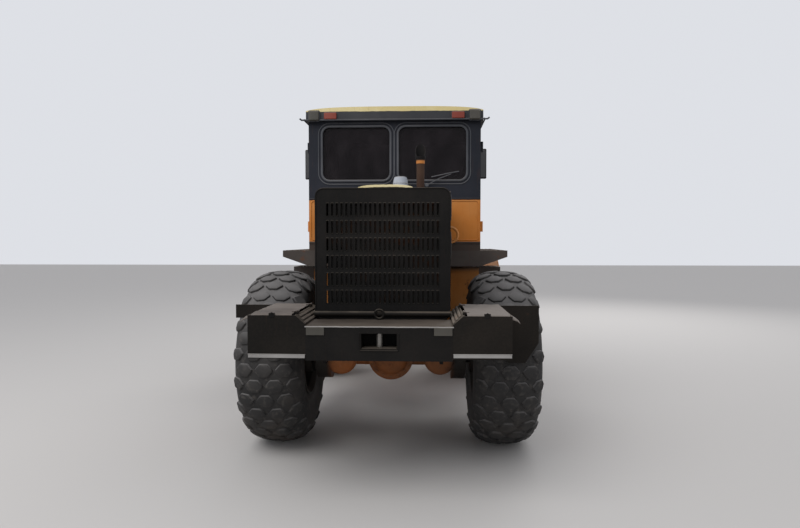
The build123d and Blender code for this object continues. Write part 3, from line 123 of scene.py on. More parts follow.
# Solid block with rounded upright corners and softened edges, about centre. axes gives the world
# directions of its width, depth and height.
def slab(centre, size, corner=0.01, bevel=0.003, axes=((1, 0, 0), (0, 1, 0), (0, 0, 1)), steps=5):
    width, depth, height = size
    axes = np.array(axes, float)
    rings = []
    half = height / 2
    for inset, z in ((bevel, -half), (0, bevel - half), (0, half - bevel), (bevel, half)):
        outline = roundedOutline(width - 2 * inset, depth - 2 * inset, max(corner - inset, 0.0005), steps)
        rings.append(outline @ axes[:2] + z * axes[2])
    return loft(np.array(rings) + np.array(centre, float))


# Tube along a path: each ring is a circle in the plane across the path, centre + r (cos t first +
# sin t second), its first direction turned as little as possible from point to point. radius may be
# one number or one for each point.
def tube(path, radius, sides=12, looped=False):
    path = np.asarray(path, float)
    ahead = np.roll(path, -1, 0) if looped else np.vstack([path[1:], 2 * path[-1] - path[-2]])
    behind = np.roll(path, 1, 0) if looped else np.vstack([2 * path[0] - path[1], path[:-1]])
    along = ahead - behind
    along /= np.linalg.norm(along, axis=1)[:, None]
    start = np.eye(3)[np.abs(along[0]).argmin()]
    across = [np.cross(along[0], start)]
    for direction in along[1:]:
        across.append(across[-1] - direction * (across[-1] @ direction))
    across = np.array(across)
    across /= np.linalg.norm(across, axis=1)[:, None]
    other = np.cross(along, across)
    angle = np.linspace(0, turn, sides, endpoint=False)[None, :, None]
    radius = np.broadcast_to(np.asarray(radius, float), len(path))[:, None, None]
    circle = np.cos(angle) * across[:, None] + np.sin(angle) * other[:, None]
    return loft(path[:, None] + radius * circle, looped)


# Two directions square to an axis and to each other.
def acrossAxes(axis):
    first = np.cross(axis, np.eye(3)[np.abs(axis).argmin()])
    first /= np.linalg.norm(first)
    return first, np.cross(axis, first)


# Solid of revolution: each row of the profile (distance along the axis, radius) becomes a circle
# about centre + distance times axis.
def revolved(profile, centre, axis, sides=32, looped=False):
    profile = np.asarray(profile, float)
    axis = np.asarray(axis, float)
    first, second = acrossAxes(axis)
    angle = np.linspace(0, turn, sides, endpoint=False)[None, :, None]
    circle = np.cos(angle) * first + np.sin(angle) * second
    rings = np.array(centre, float) + profile[:, :1, None] * axis + profile[:, 1:, None] * circle
    return loft(rings, looped)


# Places at equal angles on a circle across an axis.
def ringPlaces(centre, radius, axis, count):
    first, second = acrossAxes(np.asarray(axis, float))
    angle = np.linspace(0, turn, count, endpoint=False)[:, None]
    return np.array(centre, float) + radius * (np.cos(angle) * first + np.sin(angle) * second)


# Hexagonal bolt heads along an axis, and a round weld or rolled bead.
def boltHeads(places, axis, radius=0.012, height=0.010):
    head = [(-0.002, radius), (height * 0.8, radius), (height, radius * 0.8)]
    return copies(revolved(head, (0, 0, 0), axis, 6), places)


def beadRing(centre, radius, axis, thickness=0.006):
    return tube(ringPlaces(centre, radius, axis, 40), thickness, 6, True)


# Closed block between two grids of points (rows by columns by 3), with a wall round their edges.
def blockBetween(upper, lower):
    rows, columns = upper.shape[:2]
    count = rows * columns
    faces = gridFaces(rows, columns, False, False)
    number = np.arange(count).reshape(rows, columns)
    rim = np.concatenate([number[0], number[1:, -1], number[-1, -2::-1], number[-2:0:-1, 0]])
    after = np.roll(rim, -1)
    wall = np.stack([rim, rim + count, after + count, after], -1)
    points = np.concatenate([upper.reshape(-1, 3), lower.reshape(-1, 3)])
    return outward(points, [faces, faces[:, ::-1] + count, wall])


# Closed sheet of even thickness below a grid of points.
def sheetShell(upper, drop=(0, 0, -0.004)):
    return blockBetween(upper, upper + np.array(drop))


# Points of a flat line at one x, y or z: the other two coordinates come from its columns.
def atX(x, line):
    return np.column_stack([np.full(len(line), x), line])


def atY(y, line):
    return np.column_stack([line[:, 0], np.full(len(line), y), line[:, 1]])


def atZ(z, line):
    return np.column_stack([line, np.full(len(line), z)])


# A shell of the right side together with its mirror image on the left.
def bothSides(shells):
    right = joined(shells)
    return joined([right, mirrored(right)])


# Smooth unrepeated waves in two parameters: a sum of sines at several angles and lengths.
def waves(u, v, size, seed):
    draw = np.random.default_rng(seed)
    total = 0
    for k in range(5):
        a, phase = draw.uniform(0, turn, 2)
        length = draw.uniform(2, 6) * (1 + k)
        total = total + np.sin(length * (u * math.cos(a) + v * math.sin(a)) + phase) / (1 + k)
    return size * total


# One finished object from a shell, riding on a body.
def makePiece(name, shell, material, body, sharpAngle=38):
    points, faces = shell
    sizes = np.concatenate([np.full(len(group), group.shape[1]) for group in faces])
    mesh = bpy.data.meshes.new(name)
    mesh.vertices.add(len(points))
    mesh.vertices.foreach_set("co", np.asarray(points, np.float32).ravel())
    mesh.loops.add(int(sizes.sum()))
    corners = np.concatenate([group.ravel() for group in faces])
    mesh.loops.foreach_set("vertex_index", corners.astype(np.int32))
    mesh.polygons.add(len(sizes))
    starts = np.concatenate([[0], np.cumsum(sizes)[:-1]])
    mesh.polygons.foreach_set("loop_start", starts.astype(np.int32))
    mesh.polygons.foreach_set("use_smooth", np.ones(len(sizes), bool))
    mesh.update(calc_edges=True)
    mesh.validate()
    mesh.materials.append(material)
    piece = bpy.data.objects.new(name, mesh)
    bpy.context.scene.collection.objects.link(piece)
    mesh.set_sharp_from_angle(angle=math.radians(sharpAngle))
    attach(piece, body)
    return piece


# Materials


# Links a new shader node into a tree: inputs are values or sockets by name or number.
class Tree:
    def __init__(self, name):
        self.material = bpy.data.materials.new(name)
        self.material.use_nodes = True
        self.tree = self.material.node_tree
        self.shader = self.tree.nodes["Principled BSDF"]
        self.place = self.add("ShaderNodeTexCoord").outputs["Object"]
        normal = self.add("ShaderNodeNewGeometry").outputs["Normal"]
        self.facing = self.add("ShaderNodeSeparateXYZ", Vector=normal).outputs["Z"]

    def add(self, kind, settings=(), **inputs):
        node = self.tree.nodes.new(kind)
        for key, value in dict(settings).items():
            setattr(node, key, value)
        for key, value in inputs.items():
            key = int(key[1:]) if key[0] == "n" and key[1:].isdigit() else key.replace("_", " ")
            self.put(node.inputs[key], value)
        return node

    def put(self, socket, value):
        if isinstance(value, bpy.types.NodeSocket):
            self.tree.links.new(value, socket)
        else:
            socket.default_value = value

    def math(self, operation, a, b=0.5):
        settings = {"operation": operation, "use_clamp": True}
        return self.add("ShaderNodeMath", settings, n0=a, n1=b).outputs[0]

    # a times factor plus extra.
    def scaled(self, a, factor, extra, clamp=False):
        settings = {"operation": "MULTIPLY_ADD", "use_clamp": clamp}
        return self.add("ShaderNodeMath", settings, n0=a, n1=factor, n2=extra).outputs[0]

    # Noise at a scale in 1/m, stretched by the factors along x, y, z.
    def noise(self, scale, detail=4.0, stretch=(1, 1, 1), rough=0.6):
        spread = self.add("ShaderNodeMapping", Vector=self.place, Scale=stretch).outputs[0]
        values = {"Vector": spread, "Scale": scale, "Detail": detail, "Roughness": rough}
        return self.add("ShaderNodeTexNoise", **values).outputs["Fac"]

    # 0 below low, 1 above high, smooth between.
    def between(self, value, low, high):
        settings = {"interpolation_type": "SMOOTHSTEP"}
        return self.add("ShaderNodeMapRange", settings, Value=value, n1=low, n2=high).outputs[0]

    def mix(self, share, a, b):
        node = self.add("ShaderNodeMix", {"data_type": "RGBA"}, n0=share)
        self.put(node.inputs[6], a)
        self.put(node.inputs[7], b)
        return node.outputs[2]

    def axis(self, name):
        return self.add("ShaderNodeSeparateXYZ", Vector=self.place).outputs[name]

    def finish(self, colour, roughness, metallic=0.0, height=None, depth=0.002):
        self.put(self.shader.inputs["Base Color"], colour)
        self.put(self.shader.inputs["Roughness"], roughness)
        self.put(self.shader.inputs["Metallic"], metallic)
        if height is not None:
            bump = self.add("ShaderNodeBump", Height=height, Distance=depth, Strength=0.6)
            self.put(self.shader.inputs["Normal"], bump.outputs[0])
        return self.material


def rgba(colour):
    return (*colour, 1.0)


rust = (0.085, 0.034, 0.016)
dust = (0.23, 0.19, 0.15)


# Worn paint: base with broad fading, rust where a fine and a broad noise are both high, and dust
# on what faces up. zones are (height in m, (colour, faded colour)) from the top down, for walls of
# several colours; the last argument gives the distances from the middle plane between which a
# painted shade fades in, darkening what lies in the wheels' shadow.
def wornPaint(name, base, faded, rusty=0.42, dusty=0.5, roughness=0.62, zones=(), metallic=0.0,
              rustColour=rust, dustColour=dust, shine=0.3, shadeSpan=None):
    t = Tree(name)
    t.put(t.shader.inputs["Specular IOR Level"], shine)
    broad, fine, grain = t.noise(1.7), t.noise(11.0, 6.0), t.noise(75.0, 3.0)
    colour = t.mix(t.between(broad, 0.35, 0.7), rgba(base), rgba(faded))
    height = t.axis("Z")
    for level, below in zones:
        wavy = t.scaled(fine, 0.012, height)
        lower = t.mix(t.between(broad, 0.3, 0.7), rgba(below[0]), rgba(below[1]))
        colour = t.mix(t.between(wavy, level + 0.004, level + 0.008), lower, colour)
    streaks = t.between(t.noise(9.0, 5.0, (6, 6, 0.5)), 0.55, 0.85)
    colour = t.mix(t.math("MULTIPLY", streaks, 0.3), colour, rgba(rustColour))
    spots = t.between(fine, 0.98 - rusty, 1.10 - rusty)
    patches = t.math("MULTIPLY", spots, t.between(broad, 0.4, 0.62))
    brightRust = tuple(2.1 * share for share in rustColour)
    colour = t.mix(patches, colour, t.mix(grain, rgba(rustColour), rgba(brightRust)))
    lying = t.math("MULTIPLY", t.between(t.facing, 0.25, 0.95), t.between(broad, 0.1, 0.6))
    settled = t.math("MULTIPLY", lying, dusty)
    film = t.math("ADD", settled, t.math("MULTIPLY", t.between(grain, 0.3, 0.9), 0.05 * dusty))
    colour = t.mix(film, colour, rgba(dustColour))
    # Painted shade: the colour darkens with the distance from the middle plane, for the shadow in and by
    # the wheels.
    if shadeSpan:
        outwards = t.math("ABSOLUTE", t.axis("X"), 0.0)
        colour = t.mix(t.between(outwards, *shadeSpan), colour, rgba(paintedShade))
    rough = t.scaled(t.math("ADD", patches, film), 0.3, roughness, True)
    relief = t.math("ADD", t.math("MULTIPLY", fine, 0.5), t.math("MULTIPLY", grain, 0.3))
    return t.finish(colour, rough, metallic, relief, 0.0015)


# Colours are linear. Each paint: colour, faded colour, share of rust, share of dust, roughness.
# The colour of the painted shade in and by the wheels.
paintedShade = (0.022, 0.018, 0.015)
orange, orangeFaded = (0.47, 0.155, 0.022), (0.52, 0.21, 0.055)
brown = ((0.045, 0.032, 0.026), (0.07, 0.05, 0.038))
roofYellow = ((0.60, 0.49, 0.22), (0.70, 0.62, 0.38), (0.72, 0.64, 0.40))
roofEdge = ((0.022, 0.023, 0.027), (0.045, 0.045, 0.048))
soot = ((0.006, 0.005, 0.005), (0.012, 0.010, 0.009))
pipeRust = ((0.06, 0.032, 0.022), (0.12, 0.07, 0.045))
paintLevels = {"orange": 2.14, "brown": 1.745, "roofEdge": 2.968, "soot": 2.405}
darkPaint = wornPaint("dark_paint", (0.006, 0.0057, 0.0055), (0.012, 0.0105, 0.0095), 0.26, 0.32,
                      shine=0.10, rustColour=(0.03, 0.015, 0.009))
boxPaint = wornPaint("box_paint", (0.008, 0.007, 0.006), (0.016, 0.013, 0.0105), 0.30, 0.5,
                     shine=0.10, rustColour=(0.04, 0.02, 0.012))
lidPaint = wornPaint("lid_paint", (0.07, 0.056, 0.047), (0.12, 0.10, 0.088), 0.38, 0.75,
                     shine=0.2, dustColour=(0.19, 0.165, 0.145))
orangePaint = wornPaint("orange_paint", orange, orangeFaded, 0.40, 0.5)
cabZones = ((paintLevels["orange"], (orange, orangeFaded)), (paintLevels["brown"], brown))
cabPaint = wornPaint("cab_paint", (0.009, 0.011, 0.017), (0.017, 0.019, 0.027), 0.30, 0.3,
                     shine=0.2, zones=cabZones)
roofPaint = wornPaint("roof_paint", roofYellow[0], roofYellow[1], 0.34, 0.35)
roofSkin = wornPaint("roof_skin", roofYellow[0], roofYellow[2], 0.33, 0.35,
                     zones=((paintLevels["roofEdge"], roofEdge),))
platformPaint = wornPaint("platform_paint", (0.045, 0.035, 0.03), (0.08, 0.065, 0.055), 0.42, 0.7)
beamPaint = wornPaint("beam_paint", (0.030, 0.023, 0.019), (0.055, 0.043, 0.035), 0.36, 0.25,
                      shine=0.15)
casting = wornPaint("casting", (0.03, 0.028, 0.026), (0.05, 0.042, 0.034), 0.5, 0.5)
# The axle's ends, towards the wheels, get painted shade.
axlePaint = wornPaint("axle_paint", (0.30, 0.09, 0.018), (0.16, 0.06, 0.02), 0.46, 0.7,
                      shadeSpan=(0.46, 0.56))
rustyIron = wornPaint("rusty_iron", (0.10, 0.045, 0.025), (0.19, 0.10, 0.06), 0.52, 0.3, 0.8)
sootyIron = wornPaint("sooty_iron", *soot, 0.3, 0.1, 0.9, zones=((paintLevels["soot"], pipeRust),))
paleSteel = wornPaint("pale_steel", (0.24, 0.23, 0.22), (0.34, 0.325, 0.31), 0.38, 0.45, 0.5)
pinSteel = wornPaint("pin_steel", (0.30, 0.29, 0.27), (0.16, 0.14, 0.12), 0.4, 0.4, 0.42, metallic=0.8)
cylinderPaint = wornPaint("cylinder_paint", (0.40, 0.13, 0.02), (0.34, 0.15, 0.05), 0.38, 0.5)
# The rims' inner sides get painted shade.
rimPaint = wornPaint("rim_paint", (0.36, 0.12, 0.022), (0.26, 0.12, 0.05), 0.46, 0.7,
                     shadeSpan=(0.98, 0.86))
seal = wornPaint("seal", (0.05, 0.053, 0.06), (0.09, 0.092, 0.10), 0.2, 0.4, 0.75)
plasticGrey = wornPaint("plastic_grey", (0.30, 0.33, 0.38), (0.42, 0.44, 0.47), 0.15, 0.6, 0.6)
greyLens = wornPaint("grey_lens", (0.050, 0.046, 0.038), (0.085, 0.078, 0.066), 0.2, 0.5, 0.4)
redLens = wornPaint("red_lens", (0.19, 0.032, 0.020), (0.27, 0.07, 0.04), 0.18, 0.35, 0.35)
clearLens = wornPaint("clear_lens", (0.5, 0.5, 0.48), (0.6, 0.59, 0.55), 0.12, 0.3, 0.15)
mirrorGlass = wornPaint("mirror_glass", (0.02, 0.021, 0.023), (0.04, 0.04, 0.042), 0.1, 0.4, 0.2,
                        shine=0.6)
leather = wornPaint("leather", (0.018, 0.016, 0.015), (0.045, 0.04, 0.036), 0.2, 0.35, 0.55)


# Scoured steel: bright inside where earth slides, rusty outside, streaked along the slide.
def bucketSteel():
    t = Tree("bucket_steel")
    broad, fine, streaks = t.noise(2.3), t.noise(14.0, 6.0), t.noise(7.0, 5.0, (5, 0.6, 0.6))
    colour = t.mix(t.between(broad, 0.35, 0.65), rgba((0.17, 0.12, 0.085)), rgba((0.10, 0.055, 0.032)))
    scoured = t.math("MULTIPLY", t.between(streaks, 0.42, 0.6), t.between(t.axis("Z"), 1.1, 0.1))
    colour = t.mix(scoured, colour, rgba((0.30, 0.28, 0.25)))
    colour = t.mix(t.between(fine, 0.55, 0.7), colour, rgba((0.075, 0.032, 0.017)))
    colour = t.mix(t.math("MULTIPLY", t.between(t.facing, 0.3, 0.95), 0.4), colour, rgba(dust))
    return t.finish(colour, t.between(fine, -0.5, 1.0), 0.35, t.math("ADD", fine, broad), 0.003)


# Dusty rubber: dark, paler in fine spots, grey with dust on faces that look up, and painted shade low down:
# a brownish tone in patches.
def dustyRubber():
    t = Tree("tyre_rubber")
    broad, fine = t.noise(3.1), t.noise(24.0, 6.0)
    dark, pale = rgba((0.016, 0.015, 0.0145)), rgba((0.037, 0.034, 0.032))
    colour = t.mix(t.between(broad, 0.3, 0.7), dark, pale)
    colour = t.mix(t.between(fine, 0.5, 0.75), colour, rgba((0.064, 0.057, 0.051)))
    # Painted shade: a brownish tone in patches, stronger towards the bottom, for the shadow under the
    # machine.
    lowShade = t.math("MULTIPLY", t.between(broad, 0.45, 0.7), t.between(t.axis("Z"), 0.9, 0.2))
    colour = t.mix(t.math("MULTIPLY", lowShade, 0.75), colour, rgba((0.042, 0.032, 0.025)))
    lying = t.math("MULTIPLY", t.between(t.facing, 0.1, 0.9), 0.6)
    colour = t.mix(lying, colour, rgba((0.18, 0.17, 0.165)))
    return t.finish(colour, 0.85, 0.0, fine, 0.003)


# Grimy glass: dark and nearly opaque, with broad smears that are a little paler.
def grimyGlass():
    t = Tree("window_glass")
    t.put(t.shader.inputs["Specular IOR Level"], 0.14)
    smear = t.between(t.noise(4.0, 5.0, (1, 1, 0.6)), 0.35, 0.85)
    colour = t.mix(smear, rgba((0.006, 0.0042, 0.005)), rgba((0.017, 0.013, 0.015)))
    t.put(t.shader.inputs["Alpha"], t.scaled(smear, 0.12, 0.84))
    return t.finish(colour, t.between(smear, -0.4, 2.0))


# Chrome: bright, with finely spotted dull marks.
def chrome():
    t = Tree("rod_chrome")
    fine = t.noise(30.0, 5.0)
    colour = t.mix(t.between(fine, 0.5, 0.7), rgba((0.62, 0.62, 0.63)), rgba((0.42, 0.38, 0.33)))
    return t.finish(colour, t.between(fine, 0.0, 2.2), 0.95)


steel, rubber, glass, rodChrome = bucketSteel(), dustyRubber(), grimyGlass(), chrome()
slotMaterials = {
    "dark_paint": darkPaint, "orange_paint": orangePaint, "cab_paint": cabPaint,
    "roof_paint": roofPaint, "bucket_steel": steel, "casting": casting, "rusty_iron": rustyIron,
    "pin_steel": pinSteel, "cylinder_paint": cylinderPaint, "rod_chrome": rodChrome,
    "window_glass": glass, "seat_leather": leather, "lamp_plastic": clearLens,
    "tyre_rubber": rubber, "rim_paint": rimPaint,
}
nodeMaterials = {
    "rear_axle": axlePaint, "front_axle": axlePaint, "platform": platformPaint,
    "side_box_left": boxPaint, "side_box_right": boxPaint, "box_lid_left": lidPaint,
    "box_lid_right": lidPaint, "ladders": platformPaint, "engine_hood": darkPaint,
}
for subpart in frame["record"]["subparts"]:
    name = subpart["node"]
    finish = nodeMaterials.get(name) or slotMaterials[subpart["material_slot"]]
    for place in nodes[name].material_slots:
        place.material = finish
print("materials made")

# Stage, light and camera
stage = {"reach": 40.0, "floor": (0.5, 0.48, 0.46, 1), "sky": (0.86, 0.88, 0.93, 1), "skyStrength": 0.85}
floorMaterial = bpy.data.materials.new("floor")
floorMaterial.use_nodes = True
floorShader = floorMaterial.node_tree.nodes["Principled BSDF"]
floorShader.inputs["Base Color"].default_value = stage["floor"]
floorShader.inputs["Roughness"].default_value = 0.9
floorMesh = bpy.data.meshes.new("floor")
floorEdge = stage["reach"]
floorCorners = [(x * floorEdge, y * floorEdge, 0) for x, y in ((-1, -1), (1, -1), (1, 1), (-1, 1))]
floorMesh.from_pydata(floorCorners, [], [(0, 1, 2, 3)])
floorMesh.materials.append(floorMaterial)
floor = bpy.data.objects.new("floor", floorMesh)
bpy.context.scene.collection.objects.link(floor)

world = bpy.data.worlds.new("sky")
bpy.context.scene.world = world
world.use_nodes = True
background = world.node_tree.nodes["Background"]
background.inputs["Color"].default_value = stage["sky"]
background.inputs["Strength"].default_value = stage["skyStrength"]


# A round area light at place that looks at target.
def softLight(name, place, target, size, power):
    light = bpy.data.lights.new(name, "AREA")
    light.shape, light.size, light.energy = "DISK", size, power
    lamp = bpy.data.objects.new(name, light)
    bpy.context.scene.collection.objects.link(lamp)
    lamp.location = place
    lamp.rotation_euler = (Vector(target) - Vector(place)).to_track_quat("-Z", "Y").to_euler()


softLight("sky_light", (-4.0, -7.0, 8.0), (0, -1, 1.2), 7.0, 450)
softLight("front_light", (5.0, 8.0, 7.0), (0, 1, 1.2), 6.0, 350)

view = {"lens": 27.7, "place": (0.31, -7.40, 1.736), "pitch": 88.0, "heading": 2.5}
camera = bpy.data.objects.new("camera", bpy.data.cameras.new("camera"))
bpy.context.scene.collection.objects.link(camera)
camera.data.lens = view["lens"]
camera.location = view["place"]
camera.rotation_euler = (math.radians(view["pitch"]), 0, math.radians(view["heading"]))
bpy.context.scene.camera = camera
bpy.context.scene.view_settings.view_transform = "Standard"
print("stage set")

# Wheels. The tyre's section is a superellipse about the ring at radius 0.52 m: across = a cos t,
# radius = 0.52 + b sin t with both raised to 2/n, and b smaller inwards; t is found from the
# distance along the section, so pads keep their size over the shoulder. foot is the bead's seat.
tyre = {"ring": 0.52, "halfWidth": 0.268, "outer": 0.205, "inner": 0.201, "power": 2 / 2.6,
        "bead": 0.225, "foot": [(0.204, 0.319), (0.223, 0.340)], "around": 96, "across": 40,
        "ribs": [(0.40, 0.008), (0.33, 0.012)], "ribHeight": 0.004}
pad = {"rows": 36, "pitch": 0.16, "halfLength": 0.066, "halfWidth": 0.050, "height": 0.019,
       "radius": 0.74, "corner": [(1.0, -0.12), (1.0, 0.12), (0.55, 0.86), (0.40, 1.0),
                                  (-0.40, 1.0), (-0.55, 0.86)]}
wheel = {"x": 0.95, "z": 0.745, "y": {"rear": -2.0, "front": 0.85}}
sectionAngle = np.linspace(-0.5 * math.pi, 1.5 * math.pi, 2001)


def powered(value):
    return np.sign(value) * np.abs(value) ** tyre["power"]


sectionX = tyre["halfWidth"] * powered(np.cos(sectionAngle))
sectionRise = np.where(np.sin(sectionAngle) > 0, tyre["outer"], tyre["inner"])
sectionR = tyre["ring"] + sectionRise * powered(np.sin(sectionAngle))
sectionRun = np.concatenate([[0], np.cumsum(np.hypot(np.diff(sectionX), np.diff(sectionR)))])
sectionRun -= np.interp(0.5 * math.pi, sectionAngle, sectionRun)


# Position at (distance along the section from the crown, angle round the axle, height above the
# casing) about the wheel's own centre: the section's point, moved along its normal.
def tyrePoint(run, around, height, step=0.004):
    x, r = np.interp(run, sectionRun, sectionX), np.interp(run, sectionRun, sectionR)
    dx = np.interp(run + step, sectionRun, sectionX) - np.interp(run - step, sectionRun, sectionX)
    dr = np.interp(run + step, sectionRun, sectionR) - np.interp(run - step, sectionRun, sectionR)
    size = np.hypot(dx, dr)
    x, r = x + height * dr / size, r - height * dx / size
    return np.stack(np.broadcast_arrays(x, r * np.cos(around), r * np.sin(around)), -1)


# Casing: the section with two low ribs, exp(-(distance / width)^2), carried round the axle and
# closed along the rim's seat.
def tyreCasing():
    bead = np.abs(sectionRun[(sectionX > tyre["bead"]) & (sectionR < tyre["ring"])]).max()
    run = np.linspace(-bead, bead, tyre["across"])
    angle = np.linspace(0, turn, tyre["around"], endpoint=False)[:, None]
    ribs = sum(np.exp(-(((np.abs(run) - at) / width) ** 2)) for at, width in tyre["ribs"])
    foot = [np.broadcast_arrays(x, r * np.cos(angle), r * np.sin(angle)) for x, r in tyre["foot"]]
    inner = np.concatenate([np.stack(place, -1) for place in foot], 1)
    outer = inner[:, ::-1] * (-1, 1, 1)
    wall = tyrePoint(run[None, :], angle, tyre["ribHeight"] * ribs[None, :])
    return loft(np.concatenate([inner, wall, outer], 1), True)


# Pads: hexagons with blunt points, three in even rows and four in odd rows, each from a foot in
# the casing to a bevelled top.
def tyrePads():
    rows, corner = pad["rows"], np.array(pad["corner"])
    outline = np.concatenate([corner, -corner]) * (pad["halfLength"], pad["halfWidth"])
    row = np.concatenate([np.repeat(np.arange(0, rows, 2), 3), np.repeat(np.arange(1, rows, 2), 4)])
    three, four = np.tile([-1, 0, 1], rows // 2), np.tile([-1.5, -0.5, 0.5, 1.5], rows // 2)
    place = np.concatenate([three, four]) * pad["pitch"]
    wear = random.uniform(0.8, 1.0, len(row))
    scale, rise = np.array([1.12, 1.0, 0.88]), np.array([-0.004, 0.8, 1.0])
    run = place[:, None, None] + scale[None, :, None] * outline[None, None, :, 0]
    turned = scale[None, :, None] * outline[None, None, :, 1] / pad["radius"]
    angle = row[:, None, None] * turn / rows + turned
    lift = np.where(rise > 0, rise * pad["height"], rise)[None, :, None] * wear[:, None, None]
    points = tyrePoint(run, angle, lift)
    rings, corners = len(scale), len(outline)
    offsets = (np.arange(len(row)) * rings * corners)[:, None, None]
    side = gridFaces(rings, corners)[None] + offsets
    foot = np.arange(corners)[None, None, ::-1] + offsets
    top = np.arange(corners)[None, None, :] + (rings - 1) * corners + offsets
    faces = [side.reshape(-1, 4), foot.reshape(-1, corners), top.reshape(-1, corners)]
    return outward(points.reshape(-1, 3), faces)


# Rim: one closed section turned round the axle, from the inner flange over the barrel to the disc
# and hub. Rows of section and cap: distance outwards from the wheel's middle, radius. Rows of
# studs: count, circle, distance outwards, radius, length.
rimParts = {
    "section": [(-0.235, 0.318), (-0.243, 0.330), (-0.240, 0.345), (-0.228, 0.346), (-0.218, 0.322),
                (0.205, 0.3175), (0.214, 0.332), (0.226, 0.346), (0.240, 0.343), (0.243, 0.328),
                (0.232, 0.312), (0.216, 0.300), (0.120, 0.292), (0.104, 0.276), (0.098, 0.215),
                (0.112, 0.178), (0.118, 0.158), (0.166, 0.150), (0.178, 0.138), (0.180, 0.060),
                (0.175, 0.0605), (0.05, 0.0605), (-0.265, 0.0605), (-0.265, 0.150), (0.050, 0.152),
                (0.066, 0.20), (0.072, 0.272), (0.06, 0.285), (-0.20, 0.292)],
    "studs": [(20, 0.236, 0.098, 0.014, 0.022), (12, 0.112, 0.178, 0.010, 0.012)],
    "cap": [(0.150, 0.0604), (0.186, 0.0604), (0.192, 0.050)],
}


# Hexagonal studs on a circle round the axle, pointing outwards.
def studs(count, circle, x, radius, length):
    head = [(0, radius), (length * 0.8, radius), (length, radius * 0.8)]
    one = revolved(head, (x, 0, 0), (1, 0, 0), 6)
    angle = np.arange(count) * turn / count
    return copies(one, np.stack([0 * angle, circle * np.cos(angle), circle * np.sin(angle)], -1))


treadedTyre = joined([tyreCasing(), tyrePads()])
hub = revolved(rimParts["cap"], (0, 0, 0), (1, 0, 0), 24)
wheelRim = joined([revolved(rimParts["section"], (0, 0, 0), (1, 0, 0), 64, True),
                   *(studs(*row) for row in rimParts["studs"]), hub])
for end, axleY in wheel["y"].items():
    for side, name in ((-1, "left"), (1, "right")):
        place = np.array((side * wheel["x"], axleY, wheel["z"]))
        body = f"wheel_{end}_{name}"
        tyreShell, rimShell = treadedTyre, wheelRim
        if side < 0:
            tyreShell, rimShell = mirrored(treadedTyre), mirrored(wheelRim)
        tread = makePiece(f"tyre_tread_{end}_{name}", (tyreShell[0] + place, tyreShell[1]),
                          rubber, body)
        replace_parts(tread, f"tyre_{end}_{name}")
        rim = makePiece(f"wheel_rim_{end}_{name}", (rimShell[0] + place, rimShell[1]),
                        rimPaint, body, 30)
        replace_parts(rim, f"rim_{end}_{name}")
print("wheels made")

